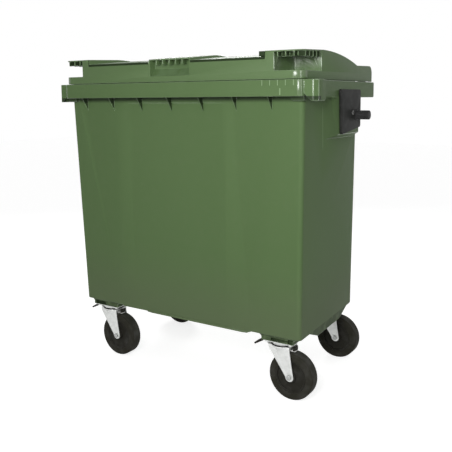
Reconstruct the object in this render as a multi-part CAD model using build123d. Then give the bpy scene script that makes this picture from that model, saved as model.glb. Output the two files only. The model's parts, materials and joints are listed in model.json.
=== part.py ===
from build123d import *
from math import cos, radians, sin, sqrt
import os

# A four-wheeled waste container with a flat hinged lid.
# X points to its right seen from the front, Y to its rear and Z up from the ground.
# The origin lies on the ground below the middle of the whole outline.

# Shared clearances and overruns
OVERRUN = 20.0
SNUG = 0.1
RUNNING = 0.08
BOLT_PLAY = 0.4

# Wheels
WHEEL_RADIUS = 100.0
WHEEL_WIDTH = 56.0
TYRE_SHOULDER = 9.0
TYRE_DEPTH = 30.0
RIM_RADIUS = WHEEL_RADIUS - TYRE_DEPTH
RIM_SET_BACK = 2.0
RIM_WIDTH = WHEEL_WIDTH - 2 * RIM_SET_BACK
RIM_EDGE = 8.0
WEB_SET_BACK = 8.0
RIM_WEB = RIM_WIDTH - 2 * WEB_SET_BACK
AXLE_RADIUS = 6.0
SLEEVE_WALL = 4.0
SLEEVE_RADIUS = AXLE_RADIUS + SLEEVE_WALL
HUB_WALL = 14.0
HUB_RADIUS = SLEEVE_RADIUS + HUB_WALL
HUB_STAND = 4.0
HUB_LENGTH = WHEEL_WIDTH + 2 * HUB_STAND
HUB_PLAY = 0.5
AXLE_HEAD = 7.5
AXLE_HEAD_STAND = 5.0
AXLE_HEAD_RADIUS = AXLE_RADIUS + AXLE_HEAD_STAND
AXLE_NUT = 10.0
AXLE_TIP = 3.0

# Castors, with heights from the ground and the rest from the swivel axis
CASTOR_TURN = -2.0
CASTOR_TRAIL = 48.0
CROWN_GAP = 20.0
FORK_WALL = 5.0
FORK_HEAD_WALL = 6.0
FORK_BASE_BEND = 8.0
FORK_FOOT_RADIUS = 18.0
FORK_HEAD_Z = 2 * WHEEL_RADIUS + CROWN_GAP
LOWER_RACE = 5.0
UPPER_RACE = 12.0
TOP_PLATE_WALL = 4.0
RACE_Z = FORK_HEAD_Z + FORK_HEAD_WALL + LOWER_RACE
CASTOR_HEIGHT = RACE_Z + UPPER_RACE + TOP_PLATE_WALL
RACE_GAP = 1.0
KINGPIN_RADIUS = 8.0
KINGPIN_HEAD_STAND = 5.0
KINGPIN_HEAD_RADIUS = KINGPIN_RADIUS + KINGPIN_HEAD_STAND
KINGPIN_HEAD = 5.0
RECESS_SIDE_PLAY = 4.0
RECESS_PLAY = 2.0
RECESS_RADIUS = KINGPIN_HEAD_RADIUS + RECESS_SIDE_PLAY
RACE_BORE_WALL = 15.0
RACE_INNER_RADIUS = KINGPIN_RADIUS + RACE_BORE_WALL
BALL_RADIUS = 3.6
BALL_PLAY = 0.15
BALLS = 20
GROOVE_EDGE = 2.4
RACE_RADIUS = RACE_INNER_RADIUS + BALL_RADIUS + GROOVE_EDGE
HOUSING_WALL = 18.0
RACE_OUTER_RADIUS = RACE_RADIUS + HOUSING_WALL
HEAD_RIM = 3.0
HEAD_FLAT = 2.0
FORK_HEAD_RADIUS = RACE_OUTER_RADIUS + HEAD_RIM
FORK_HEAD_HALF_LENGTH = FORK_HEAD_RADIUS - HEAD_FLAT
TOP_PLATE_LENGTH = 138.0
TOP_PLATE_DEPTH = 108.0
TOP_PLATE_CORNER = 8.0
BOLT_EDGE_X = 16.5
BOLT_EDGE_Y = 14.0
BOLT_SPAN_X = TOP_PLATE_LENGTH - 2 * BOLT_EDGE_X
BOLT_SPAN_Y = TOP_PLATE_DEPTH - 2 * BOLT_EDGE_Y
CASTOR_BOLT_RADIUS = 5.0
CASTOR_BOLT_HEAD = 6.4
BOLT_HEAD_STAND = 4.2
CASTOR_BOLT_HEAD_RADIUS = CASTOR_BOLT_RADIUS + BOLT_HEAD_STAND
CASTOR_NUT_HEIGHT = 8.0
CASTOR_BOLT_TIP = 4.0

# Brake lever of the front castors
BRAKE_X = -14.0
BRAKE_OVER_TYRE = 5.0
BRAKE_Z = 2 * WHEEL_RADIUS + BRAKE_OVER_TYRE
BRAKE_PIN_RADIUS = 4.0
BRAKE_PIN_HEAD = 2.5
BARREL_WALL = 5.0
BRAKE_BARREL_RADIUS = BRAKE_PIN_RADIUS + BARREL_WALL
BRAKE_ARM_WIDTH = 24.0
BRAKE_ARM_WALL = 4.0
KNEE_PLAY = 2.0
TAB_PLAY = 4.0
BRAKE_KNEE_X = -FORK_HEAD_RADIUS - KNEE_PLAY
BRAKE_TAB_X = FORK_HEAD_RADIUS + TAB_PLAY
BRAKE_TAB_LENGTH = 9.0
BRAKE_TAB_HEIGHT = 17.0
BRAKE_TAB_WIDTH = 30.0
LOOP_LENGTH = 54.0
LOOP_WIDTH = 50.0
LOOP_ROD = 7.0
LOOP_SLOPE = 30.0
LOOP_REACH = 54.0
LOOP_RISE = 14.0
LOOP_X = -FORK_HEAD_RADIUS - LOOP_REACH
LOOP_Z = BRAKE_Z + LOOP_RISE
LOOP_SOCKET = 9.0
LOOP_SOCKET_WIDTH = 32.0
SHOE_ANGLE = -95.0
SHOE_GAP = 2.05
SHOE_RADIUS = 5.0
SHOE_WIDTH = 34.0

# Tub: a tapered moulding, wider and deeper at its top
TUB_WALL = 6.0
TUB_TOP_Z = 1311.0
TUB_BELLY_DROP = 7.0
TUB_BASE_Z = CASTOR_HEIGHT - TUB_BELLY_DROP
TUB_TOP_HALF_WIDTH = 598.0
TUB_REAR_DRAW_IN = 13.0
TUB_SIDE_TAPER = 26.0
TUB_TOP_REAR_HALF_WIDTH = TUB_TOP_HALF_WIDTH - TUB_REAR_DRAW_IN
TUB_BASE_HALF_WIDTH = TUB_TOP_HALF_WIDTH - TUB_SIDE_TAPER
TUB_TOP_FRONT_Y = -357.0
TUB_FRONT_TAPER = 34.0
TUB_BASE_FRONT_Y = TUB_TOP_FRONT_Y + TUB_FRONT_TAPER
TUB_TOP_REAR_Y = 320.0
TUB_REAR_TAPER = 4.0
TUB_BASE_REAR_Y = TUB_TOP_REAR_Y - TUB_REAR_TAPER
TUB_FRONT_CORNER = 18.0
TUB_REAR_CORNER = 95.0

# Collar round the mouth, deeper at its ends, with fins below its front
COLLAR_STAND = 8.0
COLLAR_HALF_WIDTH = TUB_TOP_HALF_WIDTH + COLLAR_STAND
COLLAR_REACH = 37.0
COLLAR_FRONT_Y = TUB_TOP_FRONT_Y - COLLAR_REACH
COLLAR_HEIGHT = 64.0
COLLAR_BOTTOM_Z = TUB_TOP_Z - COLLAR_HEIGHT
COLLAR_WALL = 5.0
COLLAR_CORNER_RADIUS = 22.0
COLLAR_DROP = 15.0
COLLAR_DROP_Z = COLLAR_BOTTOM_Z - COLLAR_DROP
COLLAR_DROP_LENGTH = 53.0
COLLAR_DROP_INNER_X = COLLAR_HALF_WIDTH - COLLAR_DROP_LENGTH
COLLAR_DROP_SET_BACK = 22.0
COLLAR_DROP_FRONT_Y = COLLAR_FRONT_Y + COLLAR_DROP_SET_BACK
GUSSETS_EACH_SIDE = 3
GUSSET_SIDE_INSET = 118.0
GUSSET_PITCH = (TUB_TOP_HALF_WIDTH - GUSSET_SIDE_INSET) / GUSSETS_EACH_SIDE
GUSSET_OFFSET = 19.0
GUSSET_WALL = 5.0
GUSSET_HEIGHT = 59.0
GUSSET_BOTTOM_Z = COLLAR_BOTTOM_Z - GUSSET_HEIGHT

# Middle panel of the front wall, set back a little
PANEL_SIDE_INSET = 310.0
PANEL_HALF_WIDTH = TUB_BASE_HALF_WIDTH - PANEL_SIDE_INSET
PANEL_SETBACK = 4.0
PANEL_SIDE_RUN = 34.0
PANEL_TOP_DROP = 22.0
PANEL_TOP_Z = COLLAR_BOTTOM_Z - PANEL_TOP_DROP

# Hinge of the lid, behind the rear wall
HINGE_STAND = 40.0
HINGE_RISE = 41.0
HINGE_Y = TUB_TOP_REAR_Y + HINGE_STAND
HINGE_Z = TUB_TOP_Z + HINGE_RISE
HINGE_PIN_RADIUS = 10.0
HINGE_BOSS_WALL = 8.0
HINGE_BOSS_RADIUS = HINGE_PIN_RADIUS + HINGE_BOSS_WALL
HINGE_BOSS_DEPTH = 9.0
HINGE_PIN_HEAD = 5.0
HINGE_PIN_HEAD_STAND = 4.0
HINGE_PIN_HEAD_RADIUS = HINGE_PIN_RADIUS + HINGE_PIN_HEAD_STAND

# Ears at the front corners of the collar
RAIL_STAND = 11.0
RAIL_HALF_WIDTH = COLLAR_HALF_WIDTH + RAIL_STAND
RAIL_INNER_X = COLLAR_HALF_WIDTH - COLLAR_WALL - SNUG
EAR_REACH = 43.0
EAR_HALF_WIDTH = RAIL_HALF_WIDTH + EAR_REACH
EAR_SET_BACK = 18.0
EAR_FLAT = 54.0
EAR_TAIL = 142.0
EAR_FRONT_Y = COLLAR_FRONT_Y + EAR_SET_BACK
EAR_CORNER_CUT = 16.0
EAR_FLAT_REAR_Y = EAR_FRONT_Y + EAR_FLAT
EAR_REAR_Y = EAR_FLAT_REAR_Y + EAR_TAIL
EAR_HEIGHT = 81.0
EAR_BOTTOM_Z = TUB_TOP_Z - EAR_HEIGHT
EAR_BOTTOM_FLAT = 22.0
EAR_BOTTOM_RISE = 32.0

# Rail along each side of the mouth, which runs on past the rear wall
LID_REAR_RADIUS = 34.0
RAIL_CHEEK_WALL = 8.0
RAIL_EAR_LAP = 35.0
RAIL_FRONT_Y = EAR_REAR_Y - RAIL_EAR_LAP
RAIL_REAR_Y = HINGE_Y + LID_REAR_RADIUS
RAIL_HEIGHT = 70.0
RAIL_BOTTOM_Z = TUB_TOP_Z - RAIL_HEIGHT

# Trunnions, for the lifting arms of the collection vehicle
TRUNNION_REAR_INSET = 180.0
TRUNNION_DROP = 76.0
TRUNNION_Y = TUB_TOP_REAR_Y - TRUNNION_REAR_INSET
TRUNNION_Z = RAIL_BOTTOM_Z - TRUNNION_DROP
TRUNNION_RADIUS = 20.0
TRUNNION_REACH = 68.0
TRUNNION_END_X = RAIL_HALF_WIDTH + TRUNNION_REACH
TRUNNION_NOSE = 4.0
SHOULDER_WALL = 4.0
TRUNNION_SHOULDER_RADIUS = TRUNNION_RADIUS + SHOULDER_WALL
TRUNNION_SHOULDER_STAND = 2.0
STUD_STEP = 8.0
TRUNNION_STUD_RADIUS = TRUNNION_RADIUS - STUD_STEP
NUT_WALL = 9.0
TRUNNION_NUT_RADIUS = TRUNNION_STUD_RADIUS + NUT_WALL
TRUNNION_NUT_HEIGHT = 16.0
TRUNNION_STUD_TIP = 4.0

# Raised field on each side wall, flush with the rail, which carries the trunnion plate
FIELD_HALF_WIDTH = RAIL_HALF_WIDTH
FIELD_FRONT_REACH = 200.0
FIELD_REAR_REACH = 50.0
FIELD_FRONT_Y = TRUNNION_Y - FIELD_FRONT_REACH
FIELD_FRONT_RUN = 75.0
FIELD_REAR_Y = TRUNNION_Y + FIELD_REAR_REACH
FIELD_REAR_RUN = 25.0
FIELD_DEPTH = 78.0
FIELD_BOTTOM_Z = TRUNNION_Z - FIELD_DEPTH
FIELD_BOTTOM_RUN = 24.0
FIELD_ROOT = 25.0
PLATE_WALL = 10.0
PLATE_FRONT_INSET = 6.0
PLATE_REAR_INSET = 2.0
PLATE_TOP_RISE = 111.0
PLATE_REAR_STEP = 25.0
PLATE_FRONT_Y = FIELD_FRONT_Y + PLATE_FRONT_INSET
PLATE_REAR_Y = FIELD_REAR_Y - PLATE_REAR_INSET
PLATE_TOP_Z = TRUNNION_Z + PLATE_TOP_RISE
PLATE_FRONT_BOTTOM_Z = FIELD_BOTTOM_Z
PLATE_REAR_BOTTOM_Z = PLATE_FRONT_BOTTOM_Z + PLATE_REAR_STEP
PLATE_FRONT_LEAN = 14.0
PLATE_EDGE = 12.0
SCREW_SPACING_Y = 52.0
SCREW_SPACING_Z = 11.0
SCREW_Y = TRUNNION_Y - SCREW_SPACING_Y
SCREW_Z = TRUNNION_Z + SCREW_SPACING_Z
SCREW_RADIUS = 5.0
SCREW_HEAD_STAND = 5.0
SCREW_HEAD_RADIUS = SCREW_RADIUS + SCREW_HEAD_STAND
SCREW_HEAD = 4.0
SCREW_NUT = 8.0
SCREW_NUT_WALL = 4.2
SCREW_NUT_RADIUS = SCREW_RADIUS + SCREW_NUT_WALL
SCREW_TIP = 3.0

# Underside of the tub: sloped ends, and raised corners with a castor pad in each
END_SLOPE_RISE = 29.0
END_SLOPE_Z = TUB_BASE_Z + END_SLOPE_RISE
END_SLOPE_RUN = 82.0
CASTOR_SIDE_INSET = 108.0
CASTOR_FRONT_INSET = 67.0
CASTOR_REAR_INSET = 68.0
CASTOR_HALF_SPACING = TUB_BASE_HALF_WIDTH - CASTOR_SIDE_INSET
CASTOR_FRONT_Y = TUB_BASE_FRONT_Y + CASTOR_FRONT_INSET
CASTOR_REAR_Y = TUB_BASE_REAR_Y - CASTOR_REAR_INSET
PAD_HEIGHT = 28.0
PAD_FLARE = 16.0
PAD_FLARE_HEIGHT = 15.0
PAD_FLARE_Z = CASTOR_HEIGHT + PAD_FLARE_HEIGHT
PAD_LIP_X = 4.0
PAD_LIP_Y = 3.0
PAD_LENGTH = TOP_PLATE_LENGTH + 2 * PAD_LIP_X
PAD_DEPTH = TOP_PLATE_DEPTH + 2 * PAD_LIP_Y
POCKET_Z = CASTOR_HEIGHT + PAD_HEIGHT
POCKET_REACH = 114.0
POCKET_FRONT_REACH = 26.0
POCKET_REAR_REACH = 58.0
POCKET_INNER_X = CASTOR_HALF_SPACING - POCKET_REACH
POCKET_FRONT_Y = CASTOR_FRONT_Y + POCKET_FRONT_REACH
POCKET_REAR_Y = CASTOR_REAR_Y - POCKET_REAR_REACH
POCKET_SLOPE_RUN = 86.0

# Drain plug in the floor
DRAIN_RADIUS = 30.0
DRAIN_FLANGE_STAND = 10.0
DRAIN_FLANGE_RADIUS = DRAIN_RADIUS + DRAIN_FLANGE_STAND
DRAIN_FLANGE = 8.0
DRAIN_STAND = 14.0
DRAIN_SEAL = 3.0
DRAIN_SLOT_EDGE = 8.0
DRAIN_SLOT_LENGTH = 2 * (DRAIN_RADIUS - DRAIN_SLOT_EDGE)
DRAIN_SLOT_WIDTH = 8.0
DRAIN_SLOT_DEPTH = 5.0

# Lid: a domed shell with raised bands, as wide as the collar
LID_WALL = 5.0
LID_GAP = 2.0
LID_BOTTOM_Z = TUB_TOP_Z + LID_GAP
LID_HALF_WIDTH = COLLAR_HALF_WIDTH
LID_FRONT_INSET = 3.0
LID_FRONT_Y = COLLAR_FRONT_Y + LID_FRONT_INSET
LID_CORNER_RADIUS = 45.0
LID_BAND_HEIGHT = 107.0
PANEL_STEP = 22.0
CENTRE_STEP = 12.0
LID_BAND_FRONT_Z = LID_BOTTOM_Z + LID_BAND_HEIGHT
LID_PANEL_FRONT_Z = LID_BAND_FRONT_Z - PANEL_STEP
LID_CENTRE_FRONT_Z = LID_BAND_FRONT_Z - CENTRE_STEP
CREST_RISE = 9.0
SHOULDER_FALL = 11.0
HEEL_FALL = 47.0
LID_CREST_Z = LID_BAND_FRONT_Z + CREST_RISE
LID_SHOULDER_Z = LID_CREST_Z - SHOULDER_FALL
LID_HEEL_Z = LID_CREST_Z - HEEL_FALL
CREST_RUN = 204.0
HEEL_RUN = 164.0
SHOULDER_SHARE = 0.5
LID_CREST_Y = LID_FRONT_Y + CREST_RUN
LID_HEEL_Y = HINGE_Y - HEEL_RUN
LID_SHOULDER_Y = LID_CREST_Y + SHOULDER_SHARE * (LID_HEEL_Y - LID_CREST_Y)
LID_PANEL_DROP = 10.0
LID_LIP = 3.0
LID_LIP_HEIGHT = 5.0
SIDE_BAND_WIDTH = 156.0
SIDE_BAND_INNER_X = LID_HALF_WIDTH - SIDE_BAND_WIDTH
LUG_PLAY = 3.0
LUG_RADIUS = LID_REAR_RADIUS - LID_WALL - LUG_PLAY
LUG_WALL = 14.0
LUG_INSET = 32.0
LUG_PITCH = 54.0
LUG_OUTER_X = LID_HALF_WIDTH - LUG_INSET
LUG_INNER_X = LUG_OUTER_X - LUG_PITCH
LUG_ROOT_RISE = 4.0
LUG_ROOT_Z = RAIL_BOTTOM_Z + LUG_ROOT_RISE
LUG_SLOT_REACH = 80.0
LUG_SLOT_FRONT_Y = HINGE_Y - LUG_SLOT_REACH
HINGE_RIB_WALL = 8.0
HINGE_RIB_SPACING = 16.0
HINGE_RIB_X = LUG_INNER_X - HINGE_RIB_SPACING
HINGE_RIB_REACH = 120.0
HINGE_RIB_FRONT_Y = HINGE_Y - HINGE_RIB_REACH

# Grips: open notches at the front corners and a pocket in the middle
NOTCH_LENGTH = 116.0
NOTCH_DEPTH = 182.0
NOTCH_STEP = 32.0
NOTCH_INNER_X = LID_HALF_WIDTH - NOTCH_LENGTH
NOTCH_REAR_Y = LID_FRONT_Y + NOTCH_DEPTH
NOTCH_FLOOR_Z = LID_BOTTOM_Z + NOTCH_STEP
GRIP_PLATE = 5.0
GRIP_DEPTH = 36.0
GRIP_DROP = 23.0
GRIP_BOTTOM_Z = LID_BAND_FRONT_Z - GRIP_DROP
GRIP_RIB_WALL = 5.0
GRIP_RIB_PITCH = 33.0
SCOOP_HALF_WIDTH = 100.0
BAND_EDGE = 6.0
CENTRE_BAND_HALF_WIDTH = SCOOP_HALF_WIDTH + BAND_EDGE
SCOOP_STEP = 25.0
SCOOP_FLOOR_Z = LID_BOTTOM_Z + SCOOP_STEP
SCOOP_DEPTH = 38.0
SCOOP_LEDGE = 8.0
SCOOP_RIB_BOTTOM_Z = LID_CENTRE_FRONT_Z - GRIP_DROP
SCOOP_RIB_SET_BACK = 8.0
SCOOP_RIB_DEPTH = SCOOP_DEPTH - SCOOP_RIB_SET_BACK
SCOOP_RIBS_EACH_SIDE = 2


def block(x_low, x_high, y_low, y_high, z_low, z_high):
    """A box between three pairs of planes."""
    middle = Pos((x_low + x_high) / 2, (y_low + y_high) / 2, (z_low + z_high) / 2)
    return middle * Box(x_high - x_low, y_high - y_low, z_high - z_low)


def side_prism(face, x_low, x_high):
    """Extrudes a face drawn in Y and Z along X."""
    return extrude(Plane.YZ.offset(x_low) * face, x_high - x_low, dir=(1, 0, 0))


def front_prism(face, y_low, y_high):
    """Extrudes a face drawn in X and Z along Y."""
    return extrude(Plane.XZ.offset(-y_high) * face, y_high - y_low, dir=(0, -1, 0))


def plan_prism(face, z_low, z_high):
    """Extrudes a face drawn in X and Y along Z."""
    return extrude(Pos(0, 0, z_low) * face, z_high - z_low)


def rod(radius, x_low, x_high, y, z):
    """A cylinder along X."""
    return Pos((x_low + x_high) / 2, y, z) * Rot(0, 90, 0) * Cylinder(radius, x_high - x_low)


def cross_rod(radius, length, x, z, y=0):
    """A cylinder along Y."""
    return Pos(x, y, z) * Rot(90, 0, 0) * Cylinder(radius, length)


def post(radius, z_low, z_high):
    """A cylinder along Z on the local axis."""
    return Pos(0, 0, (z_low + z_high) / 2) * Cylinder(radius, z_high - z_low)


def hexagon(radius):
    return RegularPolygon(radius, 6)


def both_sides(shape):
    return shape + mirror(shape, about=Plane.YZ)


def front_rounded_plan(half_width, front_y, rear_y, radius):
    """A rectangle whose two front corners are round."""
    plan = Pos(0, (front_y + rear_y) / 2) * Rectangle(2 * half_width, rear_y - front_y)
    return fillet(plan.vertices().sort_by(Axis.Y)[:2], radius)


# Tub

def tub_at(z, base, top):
    """A tub size at height z, between its base and its top values."""
    return base + (top - base) * (z - TUB_BASE_Z) / (TUB_TOP_Z - TUB_BASE_Z)


def tub_plan(z, inset):
    """The tub's outline at height z, square in front and round behind."""
    front_half = tub_at(z, TUB_BASE_HALF_WIDTH, TUB_TOP_HALF_WIDTH) - inset
    rear_half = tub_at(z, TUB_BASE_HALF_WIDTH, TUB_TOP_REAR_HALF_WIDTH) - inset
    front = tub_at(z, TUB_BASE_FRONT_Y, TUB_TOP_FRONT_Y) + inset
    rear = tub_at(z, TUB_BASE_REAR_Y, TUB_TOP_REAR_Y) - inset
    plan = Polygon((-front_half, front), (front_half, front), (rear_half, rear),
                   (-rear_half, rear))
    corners = plan.vertices().sort_by(Axis.Y)
    plan = fillet(corners[:2], TUB_FRONT_CORNER - inset)
    corners = plan.vertices().sort_by(Axis.Y)
    return Pos(0, 0, z) * fillet(corners[-2:], TUB_REAR_CORNER - inset)


def tub_hull(z_low, z_high, inset):
    """The tub's body in two tiers that meet level with its raised corners."""
    seam_z = POCKET_Z + inset
    lower = loft([tub_plan(z_low, inset), tub_plan(seam_z, inset)])
    return lower + loft([tub_plan(seam_z, inset), tub_plan(z_high, inset)])


def corner_pockets(wall):
    """The raised corners below the floor, grown by a wall for the space above them."""
    far_x = TUB_TOP_HALF_WIDTH + OVERRUN
    low_z = TUB_BASE_Z - OVERRUN
    floor_z = TUB_BASE_Z + wall
    top_z = POCKET_Z + wall
    across = Polygon(
        (POCKET_INNER_X - POCKET_SLOPE_RUN - wall, low_z),
        (far_x, low_z),
        (far_x, top_z),
        (POCKET_INNER_X - wall, top_z),
        (POCKET_INNER_X - POCKET_SLOPE_RUN - wall, floor_z),
    )
    pockets = Part()
    for side, inner_y, far_y in ((1, POCKET_FRONT_Y, TUB_TOP_FRONT_Y - OVERRUN),
                                 (-1, POCKET_REAR_Y, TUB_TOP_REAR_Y + OVERRUN)):
        foot_y = inner_y + side * (POCKET_SLOPE_RUN + wall)
        along = Polygon(
            (foot_y, low_z),
            (far_y, low_z),
            (far_y, top_z),
            (inner_y + side * wall, top_z),
            (foot_y, floor_z),
        )
        pocket = front_prism(across, TUB_TOP_FRONT_Y - OVERRUN, TUB_TOP_REAR_Y + OVERRUN)
        pockets = pockets + (pocket & side_prism(along, 0, far_x))
    return both_sides(pockets)


def end_slopes(wall):
    """The wedges missing below the floor's front and rear ends, grown by a wall."""
    slopes = Part()
    for side, end_y in ((1, TUB_BASE_FRONT_Y), (-1, TUB_BASE_REAR_Y)):
        drop = END_SLOPE_Z - TUB_BASE_Z
        steep = drop / END_SLOPE_RUN
        wedge = Polygon(
            (end_y - side * OVERRUN, TUB_BASE_Z - OVERRUN),
            (end_y + side * (END_SLOPE_RUN + wall + OVERRUN / steep), TUB_BASE_Z - OVERRUN + wall),
            (end_y - side * OVERRUN, END_SLOPE_Z + OVERRUN * steep + wall + wall * steep),
        )
        half_width = TUB_TOP_HALF_WIDTH + OVERRUN
        slopes = slopes + side_prism(wedge, -half_width, half_width)
    return slopes


def side_field(inset, z_high):
    """The raised field of the right side wall, or the space behind it."""
    outer_x = FIELD_HALF_WIDTH - inset
    root_x = TUB_BASE_HALF_WIDTH - FIELD_ROOT
    plan = Polygon(
        (root_x, FIELD_FRONT_Y - FIELD_FRONT_RUN + inset),
        (TUB_TOP_REAR_HALF_WIDTH - inset, FIELD_FRONT_Y - FIELD_FRONT_RUN + inset),
        (outer_x, FIELD_FRONT_Y + inset),
        (outer_x, FIELD_REAR_Y - inset),
        (root_x, FIELD_REAR_Y + FIELD_REAR_RUN - inset),
    )
    section = Polygon(
        (root_x, FIELD_BOTTOM_Z - FIELD_BOTTOM_RUN + inset),
        (TUB_BASE_HALF_WIDTH - inset, FIELD_BOTTOM_Z - FIELD_BOTTOM_RUN + inset),
        (outer_x, FIELD_BOTTOM_Z + inset),
        (outer_x, z_high),
        (root_x, z_high),
    )
    long_section = front_prism(section, TUB_TOP_FRONT_Y, TUB_TOP_REAR_Y)
    return plan_prism(plan, TUB_BASE_Z, z_high) & long_section


def ear_plan():
    return Polygon(
        (RAIL_INNER_X, EAR_FRONT_Y),
        (EAR_HALF_WIDTH - EAR_CORNER_CUT, EAR_FRONT_Y),
        (EAR_HALF_WIDTH, EAR_FRONT_Y + EAR_CORNER_CUT),
        (EAR_HALF_WIDTH, EAR_FLAT_REAR_Y),
        (RAIL_HALF_WIDTH, EAR_REAR_Y),
        (RAIL_INNER_X, EAR_REAR_Y),
    )


def ear():
    """The right ear: a hollow corner block, open below and lowest at its outer end."""
    section = Polygon(
        (RAIL_INNER_X, EAR_BOTTOM_Z + EAR_BOTTOM_RISE),
        (EAR_HALF_WIDTH - EAR_BOTTOM_FLAT, EAR_BOTTOM_Z),
        (EAR_HALF_WIDTH, EAR_BOTTOM_Z),
        (EAR_HALF_WIDTH, TUB_TOP_Z),
        (RAIL_INNER_X, TUB_TOP_Z),
    )
    outer = plan_prism(ear_plan(), EAR_BOTTOM_Z, TUB_TOP_Z)
    outer = outer & front_prism(section, EAR_FRONT_Y, EAR_REAR_Y)
    inner_plan = offset(ear_plan(), -COLLAR_WALL, kind=Kind.INTERSECTION)
    return outer - plan_prism(inner_plan, EAR_BOTTOM_Z - OVERRUN, TUB_TOP_Z - COLLAR_WALL)


def collar():
    """The skirt and flange round the mouth, open below."""
    outer_plan = front_rounded_plan(
        COLLAR_HALF_WIDTH, COLLAR_FRONT_Y, TUB_TOP_REAR_Y, COLLAR_CORNER_RADIUS
    )
    inner_plan = offset(outer_plan, -COLLAR_WALL)
    corner = block(COLLAR_DROP_INNER_X, COLLAR_HALF_WIDTH, COLLAR_DROP_FRONT_Y,
                   TUB_TOP_FRONT_Y + COLLAR_WALL, COLLAR_DROP_Z, TUB_TOP_Z)
    outer = plan_prism(outer_plan, COLLAR_BOTTOM_Z, TUB_TOP_Z)
    hollow = plan_prism(inner_plan, COLLAR_BOTTOM_Z - OVERRUN, TUB_TOP_Z - COLLAR_WALL)
    return outer - hollow + both_sides(corner)


def rail():
    """The right side rail and its cheek behind the rear wall."""
    cheek_inner_x = RAIL_HALF_WIDTH - RAIL_CHEEK_WALL
    along = block(
        RAIL_INNER_X, RAIL_HALF_WIDTH, RAIL_FRONT_Y, TUB_TOP_REAR_Y, RAIL_BOTTOM_Z, TUB_TOP_Z
    )
    cheek = block(
        cheek_inner_x, RAIL_HALF_WIDTH, TUB_TOP_REAR_Y, RAIL_REAR_Y, RAIL_BOTTOM_Z, TUB_TOP_Z
    )
    rear_edges = cheek.edges().filter_by(Axis.X).group_by(Axis.Y)[-1]
    return along + fillet(rear_edges, RAIL_CHEEK_WALL)


def gussets():
    wall_y = tub_at(GUSSET_BOTTOM_Z, TUB_BASE_FRONT_Y, TUB_TOP_FRONT_Y)
    fin = Polygon(
        (COLLAR_FRONT_Y + COLLAR_WALL / 2, TUB_TOP_Z - COLLAR_WALL / 2),
        (COLLAR_FRONT_Y + COLLAR_WALL / 2, COLLAR_BOTTOM_Z),
        (wall_y, GUSSET_BOTTOM_Z),
        (TUB_TOP_FRONT_Y + TUB_WALL, TUB_TOP_Z - COLLAR_WALL / 2),
    )
    fins = Part()
    for step in range(-GUSSETS_EACH_SIDE, GUSSETS_EACH_SIDE + 1):
        x = step * GUSSET_PITCH - GUSSET_OFFSET
        fins = fins + side_prism(fin, x - GUSSET_WALL / 2, x + GUSSET_WALL / 2)
    return fins


def hinge_lug(x_low):
    """A lug behind the rear wall, round the hinge axis."""
    root_y = TUB_TOP_REAR_Y - TUB_WALL / 2
    slant = LUG_RADIUS * cos(radians(45))
    arm = Polygon(
        (root_y, LUG_ROOT_Z),
        (HINGE_Y + slant, HINGE_Z - slant),
        (HINGE_Y - slant, HINGE_Z + slant),
        (root_y, TUB_TOP_Z),
    )
    eye = rod(LUG_RADIUS, x_low, x_low + LUG_WALL, HINGE_Y, HINGE_Z)
    bore = rod(HINGE_PIN_RADIUS + SNUG, x_low - OVERRUN, x_low + LUG_WALL + OVERRUN,
               HINGE_Y, HINGE_Z)
    return side_prism(arm, x_low, x_low + LUG_WALL) + eye - bore


def castor_places():
    """Name, x and y of each castor's swivel axis."""
    return [
        ("front_right", CASTOR_HALF_SPACING, CASTOR_FRONT_Y),
        ("front_left", -CASTOR_HALF_SPACING, CASTOR_FRONT_Y),
        ("rear_right", CASTOR_HALF_SPACING, CASTOR_REAR_Y),
        ("rear_left", -CASTOR_HALF_SPACING, CASTOR_REAR_Y),
    ]


def bolt_places():
    """The castor bolts of one top plate, from its swivel axis."""
    return [
        (sx * BOLT_SPAN_X / 2, sy * BOLT_SPAN_Y / 2) for sx in (-1, 1) for sy in (-1, 1)
    ]


def castor_pads():
    """Blocks below the raised corners that the castors are bolted to."""
    half = PAD_LENGTH / 2
    top = POCKET_Z + TUB_WALL / 2
    section = Polygon((-half, CASTOR_HEIGHT), (half, CASTOR_HEIGHT), (half, PAD_FLARE_Z),
                      (half + PAD_FLARE, top), (-half - PAD_FLARE, top), (-half, PAD_FLARE_Z))
    pads = Part()
    for _, x, y in castor_places():
        pads = pads + Pos(x, y, 0) * front_prism(section, -PAD_DEPTH / 2, PAD_DEPTH / 2)
    return pads & tub_hull(CASTOR_HEIGHT - OVERRUN, TUB_TOP_Z, 0)


def castor_holes():
    """Bolt holes and a recess for the kingpin in each castor pad."""
    top = POCKET_Z + TUB_WALL + OVERRUN
    recess_top = CASTOR_HEIGHT + KINGPIN_HEAD + RECESS_PLAY
    holes = Part()
    for _, x, y in castor_places():
        recess = post(RECESS_RADIUS, CASTOR_HEIGHT - OVERRUN, recess_top)
        holes = holes + Pos(x, y, 0) * recess
        for dx, dy in bolt_places():
            hole = post(CASTOR_BOLT_RADIUS + BOLT_PLAY, CASTOR_HEIGHT - OVERRUN, top)
            holes = holes + Pos(x + dx, y + dy, 0) * hole
    return holes


def trunnion_holes():
    """The right side's holes for the pin's stud and for the screw."""
    reach = (TUB_TOP_REAR_HALF_WIDTH - FIELD_ROOT, FIELD_HALF_WIDTH + OVERRUN)
    stud = rod(TRUNNION_STUD_RADIUS + BOLT_PLAY, *reach, TRUNNION_Y, TRUNNION_Z)
    return stud + rod(SCREW_RADIUS + BOLT_PLAY, *reach, SCREW_Y, SCREW_Z)


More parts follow.
